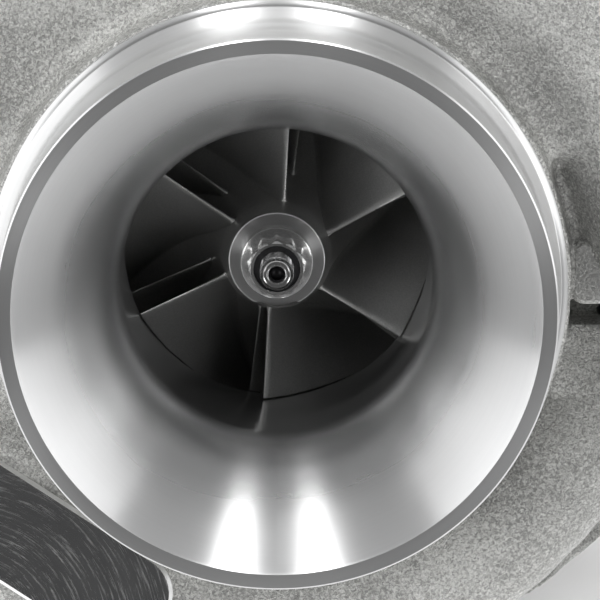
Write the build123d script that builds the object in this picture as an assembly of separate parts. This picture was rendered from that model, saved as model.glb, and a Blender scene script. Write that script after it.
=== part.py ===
"""A journal-bearing turbocharger, built as the separate pieces it is bolted together from.

Millimetres. The shaft lies along +Y, +Z is up, and the origin is on the shaft's axis in the plane of
the compressor inlet's rim, so y is the depth behind that rim. Angles round the shaft ("clock") are
degrees clockwise from the top, seen from the inlet, which is also the way the rotor turns.
"""

import os
from math import cos, pi, radians, sin

from build123d import *

# ---------------------------------------------------------------- driving dimensions
INLET_R = 50.8  # outside of the rim, for a 4 inch hose
INLET_WALL = 3.1
EDGE = 0.3  # chamfer left on the machined rim
SEAT_R = 50.0  # where the hose clamp bites
LIP_END = 9.0
SEAT_END = 22.0
SHOULDER_R = 53.5
SHOULDER_Y = 26.0
BELL_R = 36.2  # the bellmouth's radius part way in
BELL_Y = 15.0
CAST_WALL = 4.5
CAST_STEP = 0.4  # step where a straight duct leaves a scroll

# compressor wheel
INDUCER_R = 28.35
EXDUCER_R = 41.0
TIP_GAP = 0.3
NOSE_Y = 49.6
NOSE_R = 9.1
ROOT_Y = 54.75  # leading edge at the hub
ROOT_R = 10.3
TIP_Y = 57.25  # leading edge at the tip
DIFFUSER_Y = 87.0  # back wall of the diffuser, level with the wheel's hub line
EXIT_WIDTH = 5.0
WHEEL_BACK = 88.3
FULL_BLADES = 6
ROOT_CLOCK = 8.5
TIP_CLOCK = 5.1
SPLITTER_START = 0.27
BLADE_SINK = 0.8  # how far a blade's foot goes into the hub

# compressor nut
NUT_TOP = 41.3
NUT_FLATS = 9.5
NUT_CREST = 5.4
NUT_FLANGE_R = 6.82
NUT_FLANGE_TOP = 46.9
COUNTERBORE_R = 4.34
COUNTERBORE_DEEP = 0.9

# compressor scroll
THROAT_Y = 32.0
SCROLL_IN = 58.0  # inner radius of the air passage
TONGUE = 100.0  # clock angle where the scroll begins
SCROLL_END = 425.0  # clock angle where it turns into the straight outlet
SCROLL_BASE = 9.75
SCROLL_GROWTH = 0.0439  # mm of section radius per degree
SCROLL_BASE_CLOCK = 130.0
SCROLL_FORWARD = 1.5  # how far the passage's centre moves forward as its radius grows
COLLECTOR_R = 67.0
COLLECTOR_Y = 62.5
OUTLET_LENGTH = 95.0
OUTLET_R = 25.4
HOSE_R = 28.5
HOSE_LIP = 8.0

# flat machined pad on the scroll's front, lower left
PAD_CLOCK = 213.6
PAD_IN = 60.0
PAD_WIDE = 20.0
PAD_LONG = 58.0
PAD_SHIFT = 9.0
PAD_CORNER = 8.0
PAD_Y = 45.0
PAD_DEEP = 22.0

# boss and web on the right of the inlet neck
BOSS_Y = 38.0
BOSS_HALF = 6.0
WEB_Y = 55.0
WEB_TOP = -13.0
WEB_BOTTOM = -27.0

# rear flange of the compressor housing
FLANGE_R = 87.5
FLANGE_Y0 = 80.0
FLANGE_Y1 = 92.0
PLATE_R = 75.0  # the backplate that sits in it
CLAMP_PLATE = 3.5
COMPRESSOR_BOLTS = 8
COMPRESSOR_BOLT_R = 81.0

# shaft line
STUB_R = 3.175
STUB_FIT = 0.02
SHAFT_END = 36.6
JOURNAL_Y = 110.0
JOURNAL_R = 5.1
SEAL_HUB_Y = 160.5
SEAL_HUB_R = 8.42
REAR_GROOVE_Y = 163.5
TURBINE_BACK = 170.0

# thrust stack, from the compressor wheel's back to the shaft's shoulder
SLEEVE_R = 8.28
FRONT_GROOVE_Y = 91.5
GROOVE_WIDE = 2.0
FLINGER_DISC_R = 13.0
FLINGER_DISC_Y = 95.2
FLINGER_END = 98.9
THRUST_R = 14.0  # outside of the washer and of the collar's disc
WASHER_END = 100.95
THRUST_Y0 = 101.0
THRUST_Y1 = 105.0
THRUST_GAP = 0.05
COLLAR_HUB_R = 9.8
COLLAR_END = 107.5

# bearing housing
CENTRE_Y0 = 97.0
POCKET_R = 24.0
BEARING_BORE = 8.0
BEARING_LENGTH = 10.0
FRONT_BEARING_Y = 112.0
REAR_BEARING_Y = 143.0
REAR_SEAL_BORE = 8.5
FEED_Y = 132.0
FEED_TOP = 44.0
DRAIN_Y = 127.0
DRAIN_FACE = -46.0
DRAIN_SPACING = 50.8
DRAIN_R = 9.5
PIN_R = 1.5
REAR_FLANGE_R = 50.0
REAR_FLANGE_Y0 = 151.0
REAR_FLANGE_Y1 = 158.3

# turbine
TURBINE_R = 38.0
TURBINE_EXIT_R = 32.5
TURBINE_HUB_R = 9.0
TURBINE_TIP_Y0 = 172.0
TURBINE_TIP_Y1 = 183.0
TURBINE_EXIT_Y = 203.0
TURBINE_BLADES = 10
VOLUTE_IN = 46.0
VOLUTE_WALL = 5.0
VOLUTE_START = 270.0
VOLUTE_SWEEP = 325.0
VOLUTE_BIG = 26.0
VOLUTE_SMALL = 7.0
VOLUTE_Y = 178.0
PORT_X = 46.0
PORT_Y = 64.0
PORT_CORNER = 16.0
FOOT_Z = -92.0
FOOT_THICK = 12.0
FOOT_HOLE_X = 66.0
FOOT_HOLE_Y = 86.0
OUTLET_Y = 242.0
TURBINE_BOLTS = 6
TURBINE_BOLT_R = 56.5

FULL_TURN = 360.0


# ---------------------------------------------------------------- helpers
def turned(*points):
    """A body of revolution about the shaft from (radius, depth) corners."""
    outline = make_face(Polyline(*[(r, y) for r, y in points], close=True))
    return revolve(outline, Axis.Y)


def turned_face(*edges):
    """A body of revolution about the shaft from joined edges drawn as (radius, depth)."""
    return revolve(make_face(Curve() + list(edges)), Axis.Y)


def ring(inner, outer, y0, y1):
    return turned((inner, y0), (outer, y0), (outer, y1), (inner, y1))


def disc(outer, y0, y1):
    return ring(0, outer, y0, y1)


def clock_point(clock, radius, y):
    angle = radians(clock)
    return Vector(radius * sin(angle), y, radius * cos(angle))


def section_plane(clock):
    """The plane through the shaft at a clock angle: local x is outward, local y is depth."""
    angle = radians(clock)
    outward = Vector(sin(angle), 0, cos(angle))
    return Plane(origin=(0, 0, 0), x_dir=outward, z_dir=outward.cross(Vector(0, 1, 0)))


def rod(start, end, radius, end_radius=None):
    """A round bar between two points, tapering if a second radius is given."""
    start, end = Vector(start), Vector(end)
    length = (end - start).length
    plane = Plane(origin=start, z_dir=(end - start).normalized())
    if end_radius is None:
        return plane * Cylinder(radius, length, align=(Align.CENTER, Align.CENTER, Align.MIN))
    return plane * Cone(radius, end_radius, length, align=(Align.CENTER, Align.CENTER, Align.MIN))


def block(x0, x1, y0, y1, z0, z1):
    low_corner = (Align.MIN, Align.MIN, Align.MIN)
    return Pos(x0, y0, z0) * Box(x1 - x0, y1 - y0, z1 - z0, align=low_corner)


def around(shape, count, first=0.0):
    """Copies of a shape spaced evenly round the shaft."""
    step = FULL_TURN / count
    return [shape.rotate(Axis.Y, first + i * step) for i in range(count)]


def sector(y0, y1, inner, outer, clock0, clock1):
    """Part of a flat ring between two clock angles."""
    outline = section_plane(clock0) * make_face(
        Polyline((inner, y0), (outer, y0), (outer, y1), (inner, y1), close=True)
    )
    return revolve(outline, Axis.Y, clock1 - clock0)


def as_solids(shapes):
    return Compound(children=[s for shape in shapes for s in shape.solids()])


def hex_bolt(head_y, direction, shank_r, shank_length, across_flats, head_height):
    """A flange-head bolt on the shaft's axis: head on head_y, shank running along direction * Y."""
    flange_height = 1.2
    flange_r = across_flats * 0.66
    back = head_y - direction * flange_height
    flange = rod((0, head_y, 0), (0, back, 0), flange_r)
    sheet = Plane(origin=(0, back, 0), z_dir=(0, -direction, 0))
    hexagon = RegularPolygon(across_flats / 2, 6, major_radius=False)
    head = extrude(sheet * hexagon, head_height)
    shank = rod((0, head_y, 0), (0, head_y + direction * shank_length, 0), shank_r)
    return flange + head + shank


def bolt_circle(bolt, count, radius, first):
    """Bolts set round the shaft, the first at a clock angle."""
    moved = bolt.moved(Location((0, 0, radius)))
    return as_solids(around(moved, count, first))


# ---------------------------------------------------------------- blade rows
def ellipse_path(start, end, axial_first):
    """A quarter ellipse in (radius, depth) from start to end, as a function of 0..1."""
    (r0, y0), (r1, y1) = start, end

    def at(u):
        a = u * pi / 2
        if axial_first:
            return r1 - (r1 - r0) * cos(a), y0 + (y1 - y0) * sin(a)
        return r0 + (r1 - r0) * sin(a), y1 - (y1 - y0) * cos(a)

    return at


def into_compressor_hub(a):
    """Direction in (radius, depth) from the hub's surface into the metal, at ellipse angle a."""
    return -cos(a), sin(a)


def into_turbine_hub(a):
    return -sin(a), -cos(a)


def blade(hub, tip, hub_clock, tip_clock, wrap, start, thick, inward, stations=9):
    """One blade: four splines (hub and tip, each side) joined by ruled faces.

    hub and tip are paths in (radius, depth), wrap(u) is the clock angle gained along the blade, start
    is where along the paths the leading edge is, and thick is (root, tip) thickness round the shaft.
    The foot is sunk into the hub, along inward, so that the two join.
    """
    steps = [start + (1.0 - start) * i / (stations - 1) for i in range(stations)]

    def edge(path, clock, width, side, depth):
        points = []
        for u in steps:
            r, y = path(u)
            across, along = inward(u * pi / 2)
            r, y = r + depth * across, y + depth * along
            turn = clock + wrap(u) + side * width / 2 / r * 180 / pi
            points.append(clock_point(turn, r, y))
        return Spline(*points)

    root, crest = thick
    hub_a = edge(hub, hub_clock, root, 1, BLADE_SINK)
    hub_b = edge(hub, hub_clock, root, -1, BLADE_SINK)
    tip_a = edge(tip, tip_clock, crest, 1, 0.0)
    tip_b = edge(tip, tip_clock, crest, -1, 0.0)
    faces = [
        Face.make_surface_from_curves(hub_a, tip_a),
        Face.make_surface_from_curves(hub_b, tip_b),
        Face.make_surface_from_curves(hub_a, hub_b),
        Face.make_surface_from_curves(tip_a, tip_b),
    ]
    for end in (0, 1):
        corners = [hub_a @ end, hub_b @ end, tip_b @ end, tip_a @ end]
        low = Line(corners[0], corners[1])
        high = Line(corners[3], corners[2])
        faces.append(Face.make_surface_from_curves(low, high))
    solid = Solid(Shell(faces))
    return solid if solid.volume > 0 else Solid(solid.wrapped.Reversed())


COMPRESSOR_HUB = ellipse_path((ROOT_R, ROOT_Y), (EXDUCER_R, DIFFUSER_Y), True)
COMPRESSOR_TIP = ellipse_path((INDUCER_R, TIP_Y), (EXDUCER_R, DIFFUSER_Y - EXIT_WIDTH), True)
TURBINE_HUB = ellipse_path((TURBINE_R, TURBINE_TIP_Y0), (TURBINE_HUB_R, TURBINE_EXIT_Y), False)
TURBINE_TIP = ellipse_path((TURBINE_R, TURBINE_TIP_Y1), (TURBINE_EXIT_R, TURBINE_EXIT_Y), False)


def compressor_wrap(u):
    """The blades lean back against the turning: steeply at the inlet, then less towards the rim."""
    return -(51.0 * (1.0 - (1.0 - u) ** 2) + 16.0 * u * u)


def turbine_wrap(u):
    """The blades run straight out at the rim and curl back towards the outlet."""
    return -45.0 * u * u


def compressor_blade(first_clock, start):
    clocks = (ROOT_CLOCK + first_clock, TIP_CLOCK + first_clock)
    thick = (2.0, 1.3)
    return blade(COMPRESSOR_HUB, COMPRESSOR_TIP, *clocks, compressor_wrap, start, thick, into_compressor_hub)


# ---------------------------------------------------------------- rotor
def compressor_wheel():
    bore = STUB_R + STUB_FIT
    hub = turned_face(
        Line((bore, NOSE_Y), (NOSE_R - EDGE, NOSE_Y)),
        Line((NOSE_R - EDGE, NOSE_Y), (NOSE_R, NOSE_Y + EDGE)),
        Line((NOSE_R, NOSE_Y + EDGE), (ROOT_R, ROOT_Y)),
        Spline(*[COMPRESSOR_HUB(i / 8) for i in range(9)], tangents=[(0, 1), (1, 0)]),
        Line((EXDUCER_R, DIFFUSER_Y), (EXDUCER_R, WHEEL_BACK)),
        Line((EXDUCER_R, WHEEL_BACK), (bore, WHEEL_BACK)),
        Line((bore, WHEEL_BACK), (bore, NOSE_Y)),
    )
    grind_depth = 1.1
    hub -= block(-NOSE_R, NOSE_R, NOSE_Y - 1, NOSE_Y + 1.6, -NOSE_R - 1, -NOSE_R + grind_depth)
    full = compressor_blade(0.0, 0.0)
    splitter = compressor_blade(FULL_TURN / FULL_BLADES / 2, SPLITTER_START)
    wheel = hub
    for one in around(full, FULL_BLADES) + around(splitter, FULL_BLADES):
        wheel += one
    return wheel


def compressor_nut():
    """Twelve-point nut with a flange, threaded on to the shaft's stub."""
    sheet = Plane(origin=(0, NUT_FLANGE_TOP, 0), z_dir=(0, -1, 0))
    star = RegularPolygon(NUT_FLATS / 2, 6, major_radius=False)
    star += RegularPolygon(NUT_FLATS / 2, 6, major_radius=False, rotation=30)
    body = extrude(sheet * (star & Circle(NUT_CREST)), NUT_FLANGE_TOP - NUT_TOP)
    nut = body + disc(NUT_FLANGE_R, NUT_FLANGE_TOP, NOSE_Y)
    nut -= disc(STUB_R + STUB_FIT, NUT_TOP - 1, NOSE_Y + 1)
    return nut - disc(COUNTERBORE_R, NUT_TOP - 1, NUT_TOP + COUNTERBORE_DEEP)


def shaft():
    tip_r = 2.65
    neck_r = 4.7
    groove_r = 7.0
    hole_r = 1.22
    bar = turned(
        (0, SHAFT_END),
        (tip_r, SHAFT_END),
        (STUB_R, SHAFT_END + 0.9),
        (STUB_R, JOURNAL_Y),
        (JOURNAL_R, JOURNAL_Y),
        (JOURNAL_R, FRONT_BEARING_Y + BEARING_LENGTH + 2),
        (neck_r, FRONT_BEARING_Y + BEARING_LENGTH + 4),
        (neck_r, REAR_BEARING_Y - 4),
        (JOURNAL_R, REAR_BEARING_Y - 2),
        (JOURNAL_R, SEAL_HUB_Y),
        (SEAL_HUB_R, SEAL_HUB_Y),
        (SEAL_HUB_R, REAR_GROOVE_Y),
        (groove_r, REAR_GROOVE_Y),
        (groove_r, REAR_GROOVE_Y + GROOVE_WIDE),
        (SEAL_HUB_R, REAR_GROOVE_Y + GROOVE_WIDE),
        (SEAL_HUB_R, TURBINE_BACK),
        (0, TURBINE_BACK),
    )
    centre_hole = turned(
        (0, SHAFT_END - 1), (hole_r, SHAFT_END - 1), (hole_r, SHAFT_END + 2.5), (0, SHAFT_END + 3.7)
    )
    return bar - centre_hole


def oil_flinger():
    """Sleeve behind the wheel: carries the seal ring and throws oil off its disc."""
    bore = STUB_R + STUB_FIT
    groove_r = 6.8
    nose_r = 7.5
    return turned(
        (bore, WHEEL_BACK),
        (SLEEVE_R, WHEEL_BACK),
        (SLEEVE_R, FRONT_GROOVE_Y),
        (groove_r, FRONT_GROOVE_Y),
        (groove_r, FRONT_GROOVE_Y + GROOVE_WIDE),
        (SLEEVE_R, FRONT_GROOVE_Y + GROOVE_WIDE),
        (SLEEVE_R, FLINGER_DISC_Y),
        (FLINGER_DISC_R, FLINGER_DISC_Y),
        (FLINGER_DISC_R, FLINGER_DISC_Y + 1.4),
        (nose_r, FLINGER_DISC_Y + 1.4),
        (nose_r, FLINGER_END),
        (bore, FLINGER_END),
    )


def thrust_washer():
    return ring(STUB_R + STUB_FIT, THRUST_R, FLINGER_END, WASHER_END)


def thrust_collar():
    """Sleeve through the thrust bearing, with the disc that runs on its back."""
    bore = STUB_R + STUB_FIT
    nose_r = 7.0
    return turned(
        (bore, WASHER_END),
        (COLLAR_HUB_R, WASHER_END),
        (COLLAR_HUB_R, THRUST_Y1 + THRUST_GAP),
        (THRUST_R, THRUST_Y1 + THRUST_GAP),
        (THRUST_R, COLLAR_END),
        (nose_r, COLLAR_END),
        (nose_r, JOURNAL_Y),
        (bore, JOURNAL_Y),
    )


def turbine_wheel():
    rim_y = TURBINE_BACK + 0.8
    hub = turned_face(
        Line((0, TURBINE_BACK), (TURBINE_R - 1, TURBINE_BACK)),
        Line((TURBINE_R - 1, TURBINE_BACK), (TURBINE_R, rim_y)),
        Line((TURBINE_R, rim_y), (TURBINE_R, TURBINE_TIP_Y0)),
        Spline(*[TURBINE_HUB(i / 8) for i in range(9)], tangents=[(-1, 0), (0, 1)]),
        Line((TURBINE_HUB_R, TURBINE_EXIT_Y), (7.0, 208.0)),
        Line((7.0, 208.0), (0, 209.0)),
        Line((0, 209.0), (0, TURBINE_BACK)),
    )

    one = blade(TURBINE_HUB, TURBINE_TIP, 0.0, 0.0, turbine_wrap, 0.0, (2.6, 1.3), into_turbine_hub)
    wheel = hub
    for each in around(one, TURBINE_BLADES):
        wheel += each
    return wheel


# ---------------------------------------------------------------- bearings and seals
def journal_bearing(y0):
    """Floating bush: it turns in its bore and on the shaft, fed through radial holes."""
    outer = BEARING_BORE - 0.06
    inner = JOURNAL_R + 0.05
    bush = turned(
        (inner, y0),
        (outer - 0.5, y0),
        (outer, y0 + 0.5),
        (outer, y0 + BEARING_LENGTH - 0.5),
        (outer - 0.5, y0 + BEARING_LENGTH),
        (inner, y0 + BEARING_LENGTH),
    )
    middle = y0 + BEARING_LENGTH / 2
    hole = rod((0, middle, 0), (0, middle, outer + 1), 1.2)
    for one in around(hole, 6):
        bush -= one
    return bush


def snap_ring(y0):
    outer = BEARING_BORE + 0.9
    gap = block(-2.5, 2.5, y0 - 1, y0 + 2, 0, outer + 1)
    return ring(7.2, outer, y0, y0 + 1) - gap


SNAP_RING_YS = [110.5, 122.5, 141.5, 153.5]


def journal_snap_rings():
    return as_solids([snap_ring(y) for y in SNAP_RING_YS])


def thrust_bearing():
    """Flat bronze plate with tapered oil pads round its hole and a feed drilling from the top."""
    y0, y1 = THRUST_Y0, THRUST_Y1
    plate = ring(COLLAR_HUB_R + 0.2, POCKET_R - 0.1, y0, y1)
    groove = block(-0.7, 0.7, y0 - 1, y0 + 0.5, 9, 14.5)
    for one in around(groove, 6):
        plate -= one
        plate -= one.moved(Location((0, y1 - y0 + 0.5, 0)))
    feed = rod((0, (y0 + y1) / 2, 11), (0, (y0 + y1) / 2, POCKET_R + 1), 1.0)
    lower_cut = block(-9, 9, y0 - 1, y1 + 1, -POCKET_R, -17)
    return plate - feed - lower_cut


def thrust_spacer():
    """Ring that holds the thrust bearing against the bottom of its pocket."""
    y0, y1 = 98.25, WASHER_END
    return ring(19.5, POCKET_R - 0.1, y0, y1) - block(-9, 9, y0 - 1, y1 + 1, -POCKET_R, -17)


def pin_rods(radius):
    """The two dowels: one in each joint face of the bearing housing."""
    front = (clock_point(20, 42.0, 94.6), clock_point(20, 42.0, 100.4))
    rear = (clock_point(0, 48.1, 154.6), clock_point(0, 48.1, 161.4))
    return [rod(start, end, radius) for start, end in (front, rear)]


def pin_holes():
    clearance = 0.02
    return pin_rods(PIN_R + clearance)


def locating_pins():
    return as_solids(pin_rods(PIN_R))


def oil_deflector():
    """Sheet steel shield with a tongue that turns thrown oil down into the drain."""
    sheet = 1.0
    y0 = 97.2
    plate = ring(8.2, POCKET_R - 0.1, y0, y0 + sheet)
    tongue = block(-8, 8, y0, y0 + 2.6, -19, -18)
    return plate + tongue


def seal_ring(y0, inner, outer):
    gap = block(-0.4, 0.4, y0 - 1, y0 + 3, 0, outer + 1)
    return ring(inner, outer, y0, y0 + 1.8) - gap


# ---------------------------------------------------------------- backplate and its fixings
SCREW_R = 33.0
SCREW_COUNT = 4
SCREW_FIRST = 45.0
RECESS_Y = 89.3
SEAL_BORE = 8.35


def backplate():
    """Aluminium plate that closes the compressor housing and carries the front seal."""
    plate = turned(
        (SEAL_BORE, RECESS_Y),
        (EXDUCER_R + 1, RECESS_Y),
        (EXDUCER_R + 1, DIFFUSER_Y),
        (PLATE_R, DIFFUSER_Y),
        (PLATE_R, DIFFUSER_Y + 1.3),
        (PLATE_R - 2.4, DIFFUSER_Y + 1.3),
        (PLATE_R - 2.4, DIFFUSER_Y + 3.7),
        (PLATE_R, DIFFUSER_Y + 3.7),
        (PLATE_R, FLANGE_Y1),
        (62.0, FLANGE_Y1),
        (50.0, CENTRE_Y0),
        (POCKET_R, CENTRE_Y0),
        (POCKET_R, 94.8),
        (SEAL_BORE, 94.8),
    )
    screw_hole = rod((0, RECESS_Y - 1, SCREW_R), (0, CENTRE_Y0 + 1, SCREW_R), 3.1)
    sink = rod((0, RECESS_Y - 0.05, SCREW_R), (0, RECESS_Y + 3.2, SCREW_R), 6.2, 3.1)
    for one in around(screw_hole, SCREW_COUNT, SCREW_FIRST) + around(sink, SCREW_COUNT, SCREW_FIRST):
        plate -= one
    return plate - pin_holes()[0]


def backplate_o_ring():
    middle = DIFFUSER_Y + 2.5
    section = Plane.XY * Pos(PLATE_R - 1.15, middle) * Circle(1.15)
    return revolve(section, Axis.Y)


def backplate_screws():
    head = rod((0, RECESS_Y + 0.2, SCREW_R), (0, RECESS_Y + 3.1, SCREW_R), 5.8, 3.0)
    shank = rod((0, RECESS_Y + 3.1, SCREW_R), (0, 105.0, SCREW_R), 3.0)
    sheet = Plane(origin=(0, RECESS_Y + 0.2, SCREW_R), z_dir=(0, 1, 0))
    socket = extrude(sheet * RegularPolygon(2.0, 6, major_radius=False), 1.8)
    return as_solids(around(head + shank - socket, SCREW_COUNT, SCREW_FIRST))


# ---------------------------------------------------------------- compressor housing
def scroll_radius(clock):
    return SCROLL_BASE + SCROLL_GROWTH * (clock - SCROLL_BASE_CLOCK)


def scroll_centre(clock):
    """(radius, depth) of the air passage's centre: it moves out and forward as it grows."""
    a = scroll_radius(clock)
    return SCROLL_IN + a, DIFFUSER_Y - EXIT_WIDTH - SCROLL_FORWARD * a


def scroll_passage(first, last, count):
    sections = []
    for i in range(count):
        clock = first + (last - first) * i / (count - 1)
        sections.append(section_plane(clock) * Pos(*scroll_centre(clock)) * Circle(scroll_radius(clock)))
    return loft(sections)


def scroll_casting(first, last, count):
    """The cast outside: a round back on the passage, with a web running in to the inlet neck."""
    web_r = 46.0
    sections = []
    for i in range(count):
        clock = first + (last - first) * i / (count - 1)
        centre_r, centre_y = scroll_centre(clock)
        out = scroll_radius(clock) + CAST_WALL
        front, far, back = [
            (centre_r + out * cos(radians(turn)), centre_y + out * sin(radians(turn)))
            for turn in (-100, -10, 80)
        ]
        web_front = (web_r, centre_y - out)
        web_back = (web_r, FLANGE_Y0 + 3)
        outline = Curve() + [
            Line(web_front, front),
            ThreePointArc(front, far, back),
            Line(back, (centre_r, FLANGE_Y0 + 3)),
            Line((centre_r, FLANGE_Y0 + 3), web_back),
            Line(web_back, web_front),
        ]
        sections.append(section_plane(clock) * make_face(outline))
    return loft(sections)


OUTLET_AIM = Vector(cos(radians(SCROLL_END)), 0, -sin(radians(SCROLL_END)))
OUTLET_FROM = clock_point(SCROLL_END, *scroll_centre(SCROLL_END))
OUTLET_TO = OUTLET_FROM + OUTLET_AIM * OUTLET_LENGTH


def compressor_outlet():
    """The straight outlet that leaves the scroll, with a lip for the hose at its end."""
    begin = scroll_radius(SCROLL_END) + CAST_WALL - CAST_STEP
    pipe = rod(OUTLET_FROM - OUTLET_AIM * 2, OUTLET_TO - OUTLET_AIM, begin, HOSE_R - 0.7)
    return pipe + rod(OUTLET_TO - OUTLET_AIM * HOSE_LIP, OUTLET_TO, HOSE_R)


def compressor_housing():
    front = turned(
        (20.0, 0),
        (INLET_R - EDGE, 0),
        (INLET_R, EDGE),
        (INLET_R, LIP_END),
        (SEAT_R, LIP_END + 1),
        (SEAT_R, SEAT_END),
        (SHOULDER_R - 1.2, SHOULDER_Y - 1.2),
        (SHOULDER_R - 0.5, SHOULDER_Y - 1.0),
        (SHOULDER_R, SHOULDER_Y - 0.5),
        (SHOULDER_R, 70.0),
        (20.0, 70.0),
    )
    collector = ring(30.0, COLLECTOR_R + CAST_WALL, COLLECTOR_Y - CAST_WALL, DIFFUSER_Y - EXIT_WIDTH)
    flange = ring(50.0, FLANGE_R, FLANGE_Y0, FLANGE_Y1)
    inside = SHOULDER_R - 3.5
    boss = block(inside, inside + 22, BOSS_Y, BOSS_Y + 28, -BOSS_HALF, BOSS_HALF)
    boss = fillet(boss.edges().filter_by(Axis.Y), 2.5)
    web = block(inside, inside + 20, WEB_Y, WEB_Y + 17, WEB_BOTTOM, WEB_TOP)
    pad_plane = Plane(origin=(0, PAD_Y, 0), z_dir=(0, 1, 0), x_dir=clock_point(PAD_CLOCK, 1, 0))
    pad_middle = Pos(PAD_IN + PAD_WIDE / 2, PAD_SHIFT)
    pad_outline = pad_plane * pad_middle * RectangleRounded(PAD_WIDE, PAD_LONG, PAD_CORNER)
    pad = extrude(pad_outline, PAD_DEEP)
    body = front + scroll_casting(TONGUE - 6, SCROLL_END, 14)
    for piece in (collector, flange, compressor_outlet(), boss, web, pad):
        body += piece
    body -= extrude(pad_outline, -PAD_DEEP)

    shroud = ellipse_path(
        (INDUCER_R + TIP_GAP, TIP_Y), (EXDUCER_R + TIP_GAP, DIFFUSER_Y - EXIT_WIDTH - TIP_GAP), True
    )
    rim_in = INLET_R - INLET_WALL
    throat_r = INDUCER_R + TIP_GAP
    wall_y = DIFFUSER_Y - EXIT_WIDTH - TIP_GAP
    gas_path = turned_face(
        Line((0, -1), (rim_in + EDGE, -1)),
        Line((rim_in + EDGE, -1), (rim_in + EDGE, 0)),
        Line((rim_in + EDGE, 0), (rim_in, EDGE)),
        Spline((rim_in, EDGE), (BELL_R, BELL_Y), (throat_r, THROAT_Y), tangents=[(-0.9, 1), (0, 1)]),
        Line((throat_r, THROAT_Y), (throat_r, TIP_Y)),
        Spline(*[shroud(i / 8) for i in range(9)], tangents=[(0, 1), (1, 0)]),
        Line((EXDUCER_R + TIP_GAP, wall_y), (SCROLL_IN, wall_y)),
        Line((SCROLL_IN, wall_y), (SCROLL_IN, DIFFUSER_Y)),
        Line((SCROLL_IN, DIFFUSER_Y), (PLATE_R + 0.1, DIFFUSER_Y)),
        Line((PLATE_R + 0.1, DIFFUSER_Y), (PLATE_R + 0.1, FLANGE_Y1 + 1)),
        Line((PLATE_R + 0.1, FLANGE_Y1 + 1), (0, FLANGE_Y1 + 1)),
        Line((0, FLANGE_Y1 + 1), (0, -1)),
    )
    body -= gas_path
    body -= ring(SCROLL_IN - 0.5, COLLECTOR_R, COLLECTOR_Y, DIFFUSER_Y + 1)
    body -= scroll_passage(TONGUE, SCROLL_END, 14)
    begin = scroll_radius(SCROLL_END) - CAST_STEP
    body -= rod(OUTLET_FROM - OUTLET_AIM * 2, OUTLET_TO + OUTLET_AIM, begin, OUTLET_R)
    hole = rod((0, FLANGE_Y1 + 1, COMPRESSOR_BOLT_R), (0, FLANGE_Y0 + 1, COMPRESSOR_BOLT_R), 3.05)
    for one in around(hole, COMPRESSOR_BOLTS, FULL_TURN / COMPRESSOR_BOLTS / 2):
        body -= one
    return body


CLAMP_COUNT = 4


def compressor_clamp_plates():
    """Crescents that each take two bolts and grip the backplate's rim."""
    span = FULL_TURN / CLAMP_COUNT
    y1 = FLANGE_Y1 + CLAMP_PLATE
    plate = sector(FLANGE_Y1, y1, 70.5, FLANGE_R - 1, 3.0, span - 3.0)
    for clock in (span / 4, span * 3 / 4):
        start = clock_point(clock, COMPRESSOR_BOLT_R, FLANGE_Y1 - 1)
        end = clock_point(clock, COMPRESSOR_BOLT_R, y1 + 1)
        plate -= rod(start, end, 3.2)
    return as_solids(around(plate, CLAMP_COUNT))


def compressor_clamp_bolts():
    head_y = FLANGE_Y1 + CLAMP_PLATE
    bolt = hex_bolt(head_y, -1, 3.0, 13.5, 10.0, 4.0)
    return bolt_circle(bolt, COMPRESSOR_BOLTS, COMPRESSOR_BOLT_R, FULL_TURN / COMPRESSOR_BOLTS / 2)


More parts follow.
